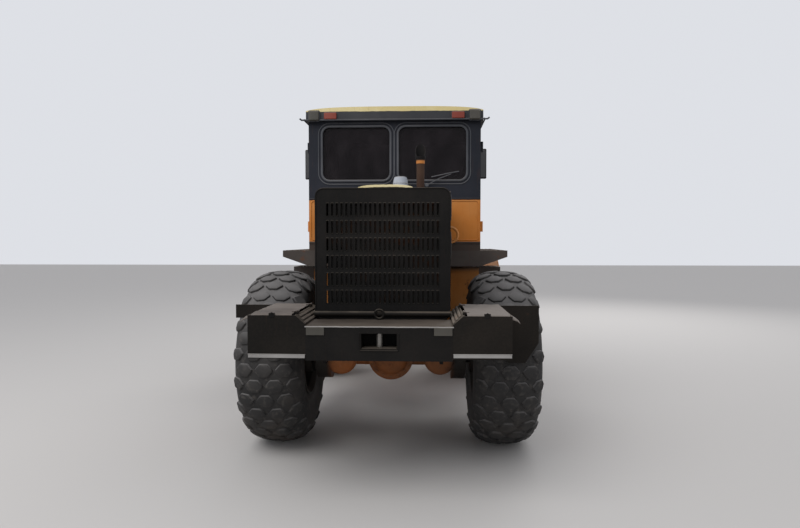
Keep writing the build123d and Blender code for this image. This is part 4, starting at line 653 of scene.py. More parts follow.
# Lids of the side boxes: pressed sheets, dented by waves, with their outer rear corners bent out and
# down by the product of two squared ramps. Also their hinge knuckles and latches. Rows of the strip
# on the box's foot: forwards, up from z, size.
lidForm = {"z": 1.2705, "inset": 0.006, "gap": 0.024, "dents": 0.0011, "rim": 0.012, "bendOut": 0.050,
           "bendDown": 0.030, "crease": 0.004, "hingeX": 0.557, "hingeZ": 1.274, "hingeY": (-3.384, -2.913),
           "latchX": 0.700}
stripForm = {"x": 0.670, "z": 0.998, "lean": 0.004,
             "rows": [(-3.4467, 0, (0.374, 0.0055, 0.020)), (-3.4465, 0.013, (0.378, 0.006, 0.005))]}
shoulder = {"rise": (0.066, 0.058), "foot": (0.480, -3.10, 1.204), "reaches": (0.012, 0.040, 0.068)}
for side, name in ((-1, "left"), (1, "right")):
    low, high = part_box(f"box_lid_{name}")
    inner, outer = (low.x, high.x) if side > 0 else (high.x, low.x)
    across, along = np.meshgrid(np.linspace(0, 1, 30), np.linspace(0, 1, 44))
    bend = np.clip((across - 0.62) / 0.38, 0, 1) ** 2 * np.clip((0.34 - along) / 0.34, 0, 1) ** 2
    folded = np.clip((across - 0.96) / 0.04, 0, 1) + np.clip((0.03 - along) / 0.03, 0, 1)
    inset, gap = lidForm["inset"], lidForm["gap"]
    width = outer - inner - side * (gap + inset)
    x = inner + side * gap + across * width + side * lidForm["bendOut"] * bend
    y = low.y + inset + along * (high.y - low.y - 2 * inset)
    crease = lidForm["crease"] * np.abs(np.sin(7 * along)) * bend
    z = lidForm["z"] + waves(across * 3, along * 5, lidForm["dents"], 3 + side) - lidForm["rim"] * folded
    z += crease - lidForm["bendDown"] * bend
    lid = [sheetShell(np.stack([x, y, z], -1))]
    hingeX, hingeZ = side * lidForm["hingeX"], lidForm["hingeZ"]
    for start in lidForm["hingeY"]:
        lid.append(tube([(hingeX, start + 0.051, hingeZ), (hingeX, start + 0.099, hingeZ)], 0.0092, 16))
        leaf = (hingeX + side * 0.016, start + 0.075, hingeZ)
        lid.append(slab(leaf, (0.036, 0.048, 0.006), 0.002, 0.001))
    sheet = makePiece(f"lid_sheet_{name}", joined(lid), lidPaint, f"box_lid_{name}")
    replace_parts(sheet, f"box_lid_{name}")
    latchX = side * lidForm["latchX"]
    grip = [(latchX - 0.014, -3.443, 1.272), (latchX, -3.4455, 1.280), (latchX + 0.014, -3.443, 1.272)]
    latch = [slab((latchX, -3.4405, 1.262), (0.042, 0.012, 0.032), 0.006, 0.002), tube(grip, 0.004, 8)]
    makePiece(f"lid_latch_{name}", joined(latch), darkPaint, f"box_lid_{name}")
    # the strip along the foot of the box's rear face, and the strips on its sloping shoulder
    lean = stripForm["lean"] * side
    stripX, stripZ = side * stripForm["x"], stripForm["z"] + lean
    leaning = ((1, 0, lean), (0, 1, 0), (-lean, 0, 1))
    strip = [slab((stripX, y, stripZ + up), extent, 0.002, 0.001, leaning)
             for y, up, extent in stripForm["rows"]]
    makePiece(f"box_strip_{name}", joined(strip), paleSteel, "rear_half")
    out, up = shoulder["rise"]
    slope = np.array((side * out, 0, up)) / math.hypot(out, up)
    away = np.array((-slope[2] * side, 0, abs(slope[0])))
    footX, footY, footZ = shoulder["foot"]
    bars = []
    for k, reach in enumerate(shoulder["reaches"]):
        middle = np.array((side * footX, footY + 0.012 * k, footZ)) + reach * slope + 0.003 * away
        bars.append(slab(middle, (0.017, 0.66 - 0.03 * k, 0.008), 0.003, 0.002, (slope, (0, 1, 0), away)))
    makePiece(f"shoulder_strips_{name}", joined(bars), platformPaint, "rear_half")

# Top plate of the rear beam: a sheet with a worn, slightly bent rear edge; the tow pocket's lip and
# its pin. Rows of the pocket's corner: across, up. Rows of the pin: distance up, radius.
beam = {"halfWidth": 0.484, "rearY": -3.4447, "depth": 0.329, "topZ": 1.1985, "wear": 0.0016}
pocket = {"y": -3.446, "corner": [(0.128, 1.150), (0.126, 1.040), (0.118, 1.034)],
          "floorAt": (0, -3.400, 1.0465), "floor": (0.230, 0.080, 0.006)}
towPin = {"centre": (0, -3.374, 1.09),
          "profile": [(-0.058, 0.0205), (0.060, 0.0205), (0.066, 0.030), (0.078, 0.030), (0.084, 0.022)]}
across, along = np.meshgrid(np.linspace(-1, 1, 90), np.linspace(0, 1, 14))
edge = np.abs(waves(across * 6, 0 * along, beam["wear"], 11))
x, y = beam["halfWidth"] * across, beam["rearY"] + edge + along * (beam["depth"] - edge)
worn = 0.005 * np.clip((0.06 - along) / 0.06, 0, 1)
z = beam["topZ"] + waves(across * 4, along, 0.0007, 12) - worn
plate = sheetShell(np.stack([x, y, z], -1), (0, 0, -0.008))
makePiece("beam_plate", plate, beamPaint, "rear_half")
edgePath = np.stack([x[0], y[0] - 0.0005, z[0] - 0.0045], -1)
makePiece("beam_edge", tube(edgePath, 0.0044, 8), paleSteel, "rear_half")
corner = np.array(pocket["corner"])
lip = [tube(atY(pocket["y"], np.vstack([corner * (-1, 1), corner[::-1]])), 0.0038, 8),
       slab(pocket["floorAt"], pocket["floor"], 0.003, 0.002)]
makePiece("tow_lip", joined(lip), darkPaint, "rear_half")
pin = revolved(towPin["profile"], towPin["centre"], (0, 0, 1), 20)
makePiece("tow_pin", pin, pinSteel, "rear_half")

# Radiator guard: a pressed rim round each of its slots, a rolled edge and the ring on its tube.
# Rows of the rim: distance outwards from the slot's edge, distance back from the guard's face.
guard = {"faceY": -3.1138, "slot": (0.019, 0.092), "columns": 24, "columnPitch": 0.0335,
         "rim": [(-0.0025, 0.0), (-0.0018, -0.0026), (0.0012, -0.0034), (0.0036, 0.0)],
         "rows": 6, "rowPitch": 0.122, "middleZ": 1.66, "edge": (0.938, 0.916), "edgeZ": 1.655}
guardTube = {"halfWidth": 0.475, "y": -3.129, "z": 1.238, "radius": 0.0185,
             "ringX": -0.02, "ringY": -3.150, "ringRadius": 0.031}
outline = roundedOutline(*guard["slot"], 0.006, 3)
rings = [atY(guard["faceY"] + depth, outline * (1 + 2 * outset / np.array(guard["slot"])))
         for outset, depth in guard["rim"]]
acrossPlaces = (np.arange(guard["columns"]) - (guard["columns"] - 1) / 2) * guard["columnPitch"]
upPlaces = guard["middleZ"] + (np.arange(guard["rows"]) - (guard["rows"] - 1) / 2) * guard["rowPitch"]
columns, rows = np.meshgrid(acrossPlaces, upPlaces)
slotPlaces = np.stack([columns.ravel(), 0 * columns.ravel(), rows.ravel()], -1)
slotRims = copies(loft(rings, True), slotPlaces)
makePiece("guard_slot_rims", slotRims, darkPaint, "rear_half")
border = roundedOutline(*guard["edge"], 0.055, 8) + (0, guard["edgeZ"])
guardEdge = tube(atY(guard["faceY"] + 0.0003, border), 0.005, 10, True)
makePiece("guard_edge", guardEdge, darkPaint, "rear_half")
ringAngle = np.linspace(0, turn, 28, endpoint=False)
ringLine = guardTube["ringRadius"] * np.stack([np.cos(ringAngle), np.sin(ringAngle)], -1)
ringLine += (guardTube["ringX"], guardTube["z"])
bar = [(side * guardTube["halfWidth"], guardTube["y"], guardTube["z"]) for side in (-1, 1)]
ring = tube(atY(guardTube["ringY"], ringLine), 0.008, 10, True)
guardPieces = joined([ring, tube(bar, guardTube["radius"], 20)])
makePiece("guard_tube", guardPieces, boxPaint, "rear_half")

# Engine hood: the worn strip over the guard, bowed by a fourth power; louvres and two door frames on
# each side; the grip and the intake cap. Rows of frames: middle along, width. Rows of the cap:
# height, radius.
hood = {"sideX": 0.475, "louvreLevels": (1.72, 1.99), "louvreY": (-2.93, -2.10, 0.062),
        "louvre": (0.016, 0.034, 0.120), "frames": [(-2.51, 0.98), (-1.78, 0.36)], "frameHeight": 0.50,
        "frameZ": 1.85, "hingeY": -2.03, "hingeZ": (1.72, 1.98)}
hoodStrip = {"x": -0.17, "width": 0.38, "y": -3.112, "depth": 0.058, "z": 2.1215,
             "bow": 0.017, "wear": 0.0008}
gripForm = {"x": 0.515, "y": -1.90, "z": 1.803, "reach": 0.070, "rise": 0.068,
            "footX": 0.470, "padX": 0.479}
intake = {"place": (0.095, -2.38, 0),
          "cap": [(2.112, 0.060), (2.118, 0.0735), (2.135, 0.0735), (2.140, 0.0715), (2.250, 0.0555),
                  (2.264, 0.050), (2.270, 0.036), (2.272, 0.010)],
          "ribs": (2.165, 2.190, 2.215), "taper": 0.165, "taperFrom": 2.140}
across, along = np.meshgrid(np.linspace(0, 1, 40), np.linspace(0, 1, 6))
bowed = hoodStrip["bow"] * (1 - (2 * across - 1) ** 4) + waves(across * 5, along, hoodStrip["wear"], 21)
x, y = hoodStrip["x"] + hoodStrip["width"] * across, hoodStrip["y"] + hoodStrip["depth"] * along
strip = sheetShell(np.stack([x, y, hoodStrip["z"] + bowed], -1), (0, 0, -0.016))
makePiece("hood_strip", strip, roofPaint, "rear_half")

# One louvre: a blade that swells out from the side and closes at its ends.
u, v = np.meshgrid(np.linspace(0, 1, 5), np.linspace(-1, 1, 9))
swell, width, halfHeight = hood["louvre"]
swollen = swell * np.sqrt(np.clip(1 - v ** 4, 0, 1)) * np.sin(u * math.pi / 2) ** 0.7
blade = np.stack([hood["sideX"] - 0.002 + swollen, width * (u - 0.5), halfHeight * v], -1)
places = [(0, y, z) for z in hood["louvreLevels"] for y in np.arange(*hood["louvreY"])]
half = [copies(sheetShell(blade, (-0.003, 0, 0)), places)]
for middle, width in hood["frames"]:
    path = roundedOutline(width, hood["frameHeight"], 0.03, 5) + (middle, hood["frameZ"])
    half.append(tube(atX(hood["sideX"] + 0.0005, path), 0.004, 6, True))
for z in hood["hingeZ"]:
    hinge = [(hood["sideX"] + 0.006, hood["hingeY"], z + end) for end in (-0.04, 0.04)]
    half.append(tube(hinge, 0.008, 10))
makePiece("hood_louvres", bothSides(half), darkPaint, "rear_half")
arc = np.linspace(-math.pi / 2, math.pi / 2, 12)
bowX = gripForm["x"] + gripForm["reach"] * np.cos(arc)
bowZ = gripForm["z"] + gripForm["rise"] * np.sin(arc)
ends = [gripForm["z"] + side * gripForm["rise"] for side in (-1, 1)]
gripLine = [(gripForm["footX"], ends[0]), *zip(bowX, bowZ), (gripForm["footX"], ends[1])]
grip = [tube(atY(gripForm["y"], np.array(gripLine)), 0.011, 12)]
for z in ends:
    grip.append(slab((gripForm["padX"], gripForm["y"], z), (0.008, 0.06, 0.05), 0.008, 0.002))
makePiece("hood_grip", joined(grip), orangePaint, "rear_half")
cap = [revolved(intake["cap"], intake["place"], (0, 0, 1), 36)]
for z in intake["ribs"]:
    thinner = intake["taper"] * (z - intake["taperFrom"])
    rows = [(z - 0.003, 0.0738 - thinner), (z, 0.0765 - thinner), (z + 0.003, 0.0738 - thinner)]
    cap.append(revolved(rows, intake["place"], (0, 0, 1), 36))
makePiece("intake_cap", joined(cap), plasticGrey, "rear_half")

# Exhaust: a pipe whose end is cut on the slant towards the rear, a painted band and a clamp. Rows of
# the pipe: radius, height, None where the slant sets the height. Rows of band, clamp and foot:
# height, radius.
stack = {
    "place": (0.257, -2.38, 0), "slantZ": 2.478, "slant": 0.064,
    "pipe": [(0.032, 1.752), (0.032, 2.398), (0.042, 2.408), (0.042, 2.43), (0.0418, None),
             (0.0375, None), (0.0375, 2.412), (0.0275, 2.404), (0.0275, 1.752)],
    "band": [(2.372, 0.0315), (2.374, 0.0345), (2.398, 0.0345), (2.400, 0.0315)],
    "clamp": [(2.150, 0.0318), (2.152, 0.0360), (2.172, 0.0360), (2.174, 0.0318)],
    "foot": [(2.117, 0.042), (2.118, 0.058), (2.124, 0.058), (2.128, 0.034), (2.126, 0.0325)],
}
stackX, stackY = stack["place"][:2]
pipeAngle = np.linspace(0, turn, 40, endpoint=False)
slanted = stack["slantZ"] + stack["slant"] * np.sin(pipeAngle)
pipe = []
for radius, level in stack["pipe"]:
    height = slanted if level is None else np.full(len(pipeAngle), level)
    circle = (stackX + radius * np.cos(pipeAngle), stackY + radius * np.sin(pipeAngle))
    pipe.append(np.stack([*circle, height], -1))
exhaust = makePiece("exhaust_stack", loft(pipe, True), sootyIron, "rear_half", 50)
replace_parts(exhaust, "exhaust_pipe")
band = revolved(stack["band"], stack["place"], (0, 0, 1), 36)
makePiece("exhaust_band", band, orangePaint, "rear_half")
clamp = [revolved(stack["clamp"], stack["place"], (0, 0, 1), 36),
         slab((stackX, stackY - 0.042, 2.162), (0.030, 0.024, 0.018), 0.003, 0.002),
         revolved(stack["foot"], stack["place"], (0, 0, 1), 36)]
makePiece("exhaust_clamp", joined(clamp), rustyIron, "rear_half")
print("rear dressed")

# Cab windows: a rubber seal on each pane's edge and a raised line outside it. Rows of panes: wall,
# centre across, centre up, width, height. Rows of lines: distance outside the pane, thickness.
panes = [("rear", 0.361, 2.5775, 0.646, 0.505), ("front", 0, 2.39, 1.46, 0.88),
         ("side", -0.4025, 2.39, 0.295, 0.88), ("door", -1.025, 2.4455, 0.668, 0.649)]
paneLines = [(0.004, 0.011), (0.036, 0.005)]
wallFaces = {"rear": -1.5515, "front": -0.1485, "side": 0.8165, "door": 0.8165}
doorForm = {"latch": (0.826, -0.70, 2.02),
            "grip": [(0.83, -0.755, 2.02), (0.848, -0.745, 2.02), (0.852, -0.66, 2.02),
                     (0.83, -0.645, 2.02)],
            "panel": (0.62, 0.30), "panelAt": (-1.025, 1.88), "panelX": 0.8155}
cabSeals, doorSeals = [], []
for wall, acrossAt, upAt, width, height in panes:
    for outset, thickness in paneLines:
        path = roundedOutline(width + 2 * outset, height + 2 * outset, 0.07 + outset, 8)
        flat = atY if wall in ("rear", "front") else atX
        line = tube(flat(wallFaces[wall], path + (acrossAt, upAt)), thickness, 8, True)
        if wall == "door":
            doorSeals.append(line)
        else:
            cabSeals += [line] if wall == "front" else [line, mirrored(line)]
makePiece("cab_seals", joined(cabSeals), seal, "rear_half")
panel = roundedOutline(*doorForm["panel"], 0.04, 5) + doorForm["panelAt"]
fittings = [slab(doorForm["latch"], (0.016, 0.13, 0.030), 0.006, 0.003), tube(doorForm["grip"], 0.008, 10),
            tube(atX(doorForm["panelX"], panel), 0.006, 8, True)]
for side, name in ((-1, "left"), (1, "right")):
    door, trim = joined(doorSeals), joined(fittings)
    if side < 0:
        door, trim = mirrored(door), mirrored(trim)
    makePiece(f"door_seal_{name}", door, seal, f"door_{name}")
    makePiece(f"door_fittings_{name}", trim, cabPaint, f"door_{name}")

# Raised borders of the rear wall's lower panels, and the wiper at the right rear window. Rows of
# ledges: height, depth and height of the strip.
rearWall = {"panel": (0.335, 0.37), "panelAt": (0.628, 1.945), "y": -1.5505, "ledgeY": -1.5515,
            "ledgeWidth": 1.63, "ledges": [(1.735, 0.012, 0.022), (2.150, 0.010, 0.012)]}
rearWiper = {"pivot": (0.310, -1.550, 2.275), "cap": [(0, 0.018), (0.030, 0.018), (0.036, 0.012)],
             "arm": [(0.310, -1.580, 2.275), (0.420, -1.583, 2.335), (0.535, -1.578, 2.378)],
             "blade": [(0.352, -1.572, 2.352), (0.500, -1.574, 2.384), (0.610, -1.572, 2.404)]}
path = roundedOutline(*rearWall["panel"], 0.025, 5) + rearWall["panelAt"]
border = tube(atY(rearWall["y"], path), 0.006, 8, True)
ledges = [slab((0, rearWall["ledgeY"], z), (rearWall["ledgeWidth"], depth, height), 0.004, 0.003)
          for z, depth, height in rearWall["ledges"]]
borders = joined([border, *ledges, mirrored(border)])
makePiece("cab_borders", borders, cabPaint, "rear_half")
wiper = [revolved(rearWiper["cap"], rearWiper["pivot"], (0, -1, 0), 16), tube(rearWiper["arm"], 0.0045, 8),
         tube(rearWiper["blade"], 0.0055, 8)]
makePiece("rear_wiper", joined(wiper), seal, "rear_half")

# Roof: one pressed skin. Its height over the eaves falls off with a power of the distance from the
# middle across, and a little with the square of it along; high powers round its corners, and two
# bell curves, exp(-(distance / width)^2), press grooves along it. Then the gutter.
roofForm = {"eavesZ": 2.996, "footZ": 2.887, "halfWidth": 0.8445, "halfLength": 0.7495, "middleY": -0.840,
            "crown": 0.038, "crownPower": 3.5, "fall": 0.3, "cornerDrop": 0.010, "groove": 0.006,
            "grooveAt": 0.45, "grooveWidth": 0.03, "grooveEnd": 0.86}
gutterForm = {"side": [(0.842, -1.597, 2.893), (0.850, -1.590, 2.890), (0.850, -0.095, 2.890)],
              "rear": [(0.890, -1.592, 2.902), (0.872, -1.597, 2.888), (0.84, -1.598, 2.888)]}
across, along = np.meshgrid(np.linspace(-1, 1, 61), np.linspace(-1, 1, 41))
cornerCut = roofForm["cornerDrop"] * (np.abs(across) ** 16 + np.abs(along) ** 16)
crown = roofForm["crown"] * (1 - np.abs(across) ** roofForm["crownPower"])
crown *= 1 - roofForm["fall"] * along ** 2
grooved = (np.abs(across) - roofForm["grooveAt"]) / roofForm["grooveWidth"]
pressed = roofForm["groove"] * np.exp(-(grooved ** 2)) * (np.abs(along) < roofForm["grooveEnd"])
x = roofForm["halfWidth"] * across * (1 - 0.012 * np.abs(along) ** 10)
y = roofForm["middleY"] + roofForm["halfLength"] * along * (1 - 0.010 * np.abs(across) ** 10)
top = np.stack([x, y, roofForm["eavesZ"] + crown - cornerCut - pressed], -1)
lower = np.stack([x, y, np.full(x.shape, roofForm["footZ"])], -1)
roof = makePiece("roof_skin", blockBetween(top, lower), roofSkin, "rear_half")
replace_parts(roof, "cab_roof")
gutter = [tube(np.array(gutterForm["side"]) * (side, 1, 1), 0.007, 8) for side in (-1, 1)]
end = np.array(gutterForm["rear"])
gutter.append(tube(np.vstack([end * (-1, 1, 1), end[::-1]]), 0.008, 8))
makePiece("gutter", joined(gutter), seal, "rear_half")

# Lamps: rounded lenses with a dark frame. Rows: centre, size, material.
lampRows = [((0.416, -3.4465, 1.160), (0.118, 0.0065, 0.052), greyLens),
            ((0.600, -1.601, 2.925), (0.118, 0.022, 0.062), redLens),
            ((0.755, -1.607, 2.926), (0.098, 0.034, 0.092), greyLens),
            ((0.640, -0.060, 2.930), (0.156, 0.058, 0.076), clearLens)]
lampFrame = {"outset": 0.003, "corner": 0.012, "inFront": 0.012, "radius": 0.005}
frames = []
for k, (centre, extent, lens) in enumerate(lampRows):
    one = slab(centre, extent, min(extent[:2]) * 0.28, min(extent) * 0.25)
    piece = makePiece(f"lamp_pair_{k}", bothSides([one]), lens, "rear_half")
    if k == 0:
        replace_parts(piece, "lamps")
        continue
    grown = 2 * lampFrame["outset"]
    ring = roundedOutline(extent[0] + grown, extent[2] + grown, lampFrame["corner"], 4)
    ring += (centre[0], centre[2])
    level = centre[1] + lampFrame["inFront"] * (1 if centre[1] < -1 else -1)
    shell = tube(atY(level, ring), lampFrame["radius"], 8, True)
    frames += [shell, mirrored(shell)]
makePiece("lamp_frames", joined(frames), seal, "rear_half")

# Mirrors: rounded backs with a glass face on bent arms.
mirrorForm = {"half": 0.065, "y": -0.178, "back": (0.128, 0.030, 0.346), "glassY": -0.1945,
              "glass": (0.106, 0.004, 0.320), "armX": 0.812, "armY": -0.172,
              "armRise": (0.130, 0.133, 0.128)}
low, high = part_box("mirrors")
mirrorZ = (low.z + high.z) / 2
backs, glassFaces = [], []
for side, mirrorX in ((-1, low.x + mirrorForm["half"]), (1, high.x - mirrorForm["half"])):
    backs.append(slab((mirrorX, mirrorForm["y"], mirrorZ), mirrorForm["back"], 0.014, 0.008))
    armX = np.linspace(side * mirrorForm["armX"], mirrorX, 3)
    arm = np.stack([armX, mirrorZ + np.array(mirrorForm["armRise"])], -1)
    backs.append(tube(atY(mirrorForm["armY"], arm), 0.008, 10))
    glassFaces.append(slab((mirrorX, mirrorForm["glassY"], mirrorZ), mirrorForm["glass"], 0.0015, 0.001))
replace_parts(makePiece("mirror_backs", joined(backs), darkPaint, "rear_half"), "mirrors")
makePiece("mirror_glasses", joined(glassFaces), mirrorGlass, "rear_half")
print("cab dressed")

# Headlamps: a lens and a chromed rim in each housing. Rows of the lens: distance forwards, radius.
headlamp = {"x": 0.90, "z": 1.70, "rimRadius": 0.075,
            "lens": [(-0.020, 0.074), (-0.006, 0.073), (-0.002, 0.055), (0.0, 0.020)]}
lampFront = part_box("headlamps")[1].y
lens = revolved(headlamp["lens"], (headlamp["x"], lampFront - 0.001, headlamp["z"]), (0, 1, 0), 32)
rimAngle = np.linspace(0, turn, 40, endpoint=False)
rimLine = headlamp["rimRadius"] * np.stack([np.cos(rimAngle), np.sin(rimAngle)], -1)
lampRim = tube(atY(lampFront - 0.006, rimLine + (headlamp["x"], headlamp["z"])), 0.0055, 8, True)
makePiece("headlamp_lenses", bothSides([lens]), clearLens, "front_half")
makePiece("headlamp_rims", bothSides([lampRim]), paleSteel, "front_half")

# Pins of the front linkage: a cap with bolts on each end. Rows: body, end of the pin on the right,
# cap radius, bolts, their circle. Rows with no radius have their caps in the solids.
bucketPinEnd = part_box("bucket_pins")[1].x
pinRows = [("front_half", (0.420, 0.525, 1.75), 0.060, 4, 0.036),
           ("front_half", (0.555, 0.100, 0.95), 0.046, 3, 0.026),
           ("bucket_pins", (bucketPinEnd, 2.35, 0.35), 0.046, 3, 0.026),
           ("crank_pin", (0.131, 1.6079, 1.2722), 0, 6, 0.066),
           ("link_pin", (0.091, 1.6497, 1.6700), 0, 5, 0.056)]
pinCap = {"thickness": 0.012, "edge": 0.009, "bevel": 0.004}
for k, (body, end, radius, count, circle) in enumerate(pinRows):
    face = end[0] + (pinCap["thickness"] if radius else 0)
    bolts = ringPlaces((face, *end[1:]), circle, (1, 0, 0), count)
    pieces = [boltHeads(bolts, (1, 0, 0), 0.010, 0.008)]
    if radius:
        rows = [(0.0, radius), (pinCap["edge"], radius), (pinCap["thickness"], radius - pinCap["bevel"])]
        pieces.append(revolved(rows, end, (1, 0, 0), 28))
    makePiece(f"pin_cap_{k}", bothSides(pieces), pinSteel, body)

# Welds on the boom: rings where its cross tube meets the arms and the crank's brackets, and round
# the boom's eyes. Rows: centre, radius, thickness.
weldRows = [((0.3285, 1.5733, 1.0692), 0.081, 0.007), ((0.101, 1.5733, 1.0692), 0.081, 0.007),
            ((0.072, 1.5733, 1.0692), 0.081, 0.007), ((0.402, 0.525, 1.75), 0.098, 0.005)]
welds = [beadRing(centre, radius, (1, 0, 0), thickness) for centre, radius, thickness in weldRows]
makePiece("boom_welds", bothSides(welds), orangePaint, "boom")

# Fittings of a cylinder: its gland, a band near its foot, two ports, the pipe between them and its
# two clips. foot, heading and rise are its foot, its direction and the side that bears the pipe.
fitting = {"gland": (0.058, 0.052, 0.010, 0.004), "band": (0.150, 0.153, 0.172, 0.175),
           "swell": (-0.001, 0.006, 0.006, -0.001), "ports": (0.200, 0.085), "clips": (0.35, 0.22),
           "clip": (0.030, 0.018, 0.034), "pipe": 0.0065}


def cylinderFittings(foot, heading, length, radius, rise):
    foot, heading, rise = (np.array(part, float) for part in (foot, heading, rise))

    def at(along, out=0.0):
        return foot + along * heading + (radius + out) * rise

    gland = foot + (length - np.array(fitting["gland"]))[:, None] * heading
    band = foot + np.array(fitting["band"])[:, None] * heading
    swell = np.array(fitting["swell"])
    shells = [tube(gland, radius + swell, 32), tube(band, radius + swell * 0.7, 32)]
    first, last = fitting["ports"][0], length - fitting["ports"][1]
    for along in (first, last):
        shells.append(tube([at(along, -0.006), at(along, 0.020)], 0.014, 12))
    pipe = [at(first, 0.016), at(first + 0.025, 0.020), at(last - 0.025, 0.020), at(last, 0.016)]
    shells.append(tube(pipe, fitting["pipe"], 8))
    for along in (fitting["clips"][0], length - fitting["clips"][1]):
        shells.append(slab(at(along, 0.012), fitting["clip"], 0.004, 0.003, ((1, 0, 0), heading, rise)))
    return joined(shells)


# Rows: foot, heading, length, radius, rise.
cylinders = {"lift": ((0.5, 0.100, 0.950), (0, 0.98837, 0.15208), 0.940, 0.065, (0, -0.15208, 0.98837)),
             "tilt": ((0, 0.4151, 1.98564), (0, 0.91490, -0.40368), 0.760, 0.068, (0, 0.40368, 0.91490))}
lift = bothSides([cylinderFittings(*cylinders["lift"])])
makePiece("lift_fittings", lift, cylinderPaint, "lift_barrels")
tilt = cylinderFittings(*cylinders["tilt"])
makePiece("tilt_fittings", tilt, cylinderPaint, "tilt_barrel")

# Bucket: a rolled bar on its top edge, a worn strip behind the teeth with their bolts, and the welds
# that join its shell to the side plates, along the shell's inner profile. Rows: forwards, up.
bucketTrim = {"halfWidth": 1.228, "top": (2.684, 1.167), "strip": (3.272, 0.0505),
              "stripSize": (2.404, 0.070, 0.011), "teeth": 8, "firstTooth": -1.1925,
              "bolts": (3.228, 3.262, 3.305), "boltZ": 0.0695, "weldX": 1.2035,
              "weld": [(3.30, 0.050), (2.90, 0.050), (2.645, 0.050), (2.585, 0.070), (2.541, 0.115),
                       (2.508, 0.180), (2.492, 0.262), (2.504, 0.600), (2.516, 0.893), (2.600, 1.020),
                       (2.684, 1.146)]}
bar = tube([(side * bucketTrim["halfWidth"], *bucketTrim["top"]) for side in (-1, 1)], 0.017, 16)
strip = slab((0, *bucketTrim["strip"]), bucketTrim["stripSize"], 0.004, 0.003)
toothX = np.linspace(bucketTrim["firstTooth"], -bucketTrim["firstTooth"], bucketTrim["teeth"])
boltPlaces = [(x, y, bucketTrim["boltZ"]) for x in toothX for y in bucketTrim["bolts"]]
weld = tube(atX(bucketTrim["weldX"], bucketTrim["weld"]), 0.0055, 6)
trim = [bar, strip, weld, mirrored(weld), boltHeads(boltPlaces, (0, 0, 1), 0.014, 0.010)]
makePiece("bucket_trim", joined(trim), steel, "bucket")

# Front fenders: rolled edges round their arcs, and bolts on their brackets.
fender = {"centre": (0.85, 0.745), "radius": 0.8205, "arc": (80.5, 157.0), "edgeX": (0.663, 1.213),
          "boltX": (0.36, 0.40, 0.72, 0.78), "boltZ": 1.070}
arc = np.radians(np.linspace(*fender["arc"], 40))
line = fender["radius"] * np.stack([np.cos(arc), np.sin(arc)], -1) + fender["centre"]
edges = [tube(atX(x, line), 0.0085, 8) for x in fender["edgeX"]]
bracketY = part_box("front_fenders")[0].y - 0.0005
bracketBolts = [(x, bracketY, fender["boltZ"]) for x in fender["boltX"]]
edges.append(boltHeads(bracketBolts, (0, -1, 0), 0.011, 0.008))
makePiece("fender_edges", bothSides(edges), orangePaint, "front_half")

# Tread of the platform's wings and of the steps: low bars in crossed directions. Rows of areas:
# reach across, reach along, height.
treadForm = {"pitch": 0.044, "bar": (0.030, 0.009, 0.005), "margin": (0.02, 0.01),
             "wing": ((0.842, 1.056), (-1.53, -0.17), 1.66), "step": ((0.842, 1.040), (-1.135, -0.825)),
             "stepZ": np.linspace(0.48, 1.49, 4)}
slant = math.sqrt(0.5)
bars = []
first, last = treadForm["margin"]
steps = [(*treadForm["step"], z) for z in treadForm["stepZ"]]
for (x0, x1), (y0, y1), z in [treadForm["wing"], *steps]:
    x, y = np.meshgrid(np.arange(x0 + first, x1 - last, treadForm["pitch"]),
                       np.arange(y0 + first, y1 - last, treadForm["pitch"]))
    crossed = (np.indices(x.shape).sum(0) % 2).ravel() == 0
    places = atZ(z, np.stack([x.ravel(), y.ravel()], -1))
    for chosen, lean in ((crossed, slant), (~crossed, -slant)):
        axes = ((slant, lean, 0), (-lean, slant, 0), (0, 0, 1))
        bars.append(copies(slab((0, 0, 0), treadForm["bar"], 0.003, 0.0015, axes, 2), places[chosen]))
makePiece("tread_bars", bothSides(bars), platformPaint, "rear_half")

# Tanks: two straps and a cap on each outer face.
tank = {"strapX": 0.8315, "straps": (-1.186, -0.700), "strapZ": 1.09, "strap": (0.007, 0.034, 0.70),
        "boltX": 0.835, "boltZ": (0.765, 1.415), "capAt": (0.829, -0.748, 1.375),
        "cap": [(0.0, 0.034), (0.014, 0.034), (0.016, 0.042), (0.030, 0.042), (0.034, 0.036)]}
straps = [slab((tank["strapX"], y, tank["strapZ"]), tank["strap"], 0.002, 0.0015) for y in tank["straps"]]
straps.append(revolved(tank["cap"], tank["capAt"], (1, 0, 0), 24))
strapBolts = [(tank["boltX"], y, z) for y in tank["straps"] for z in tank["boltZ"]]
straps.append(boltHeads(strapBolts, (1, 0, 0), 0.009, 0.007))
makePiece("tank_straps", bothSides(straps), casting, "rear_half")

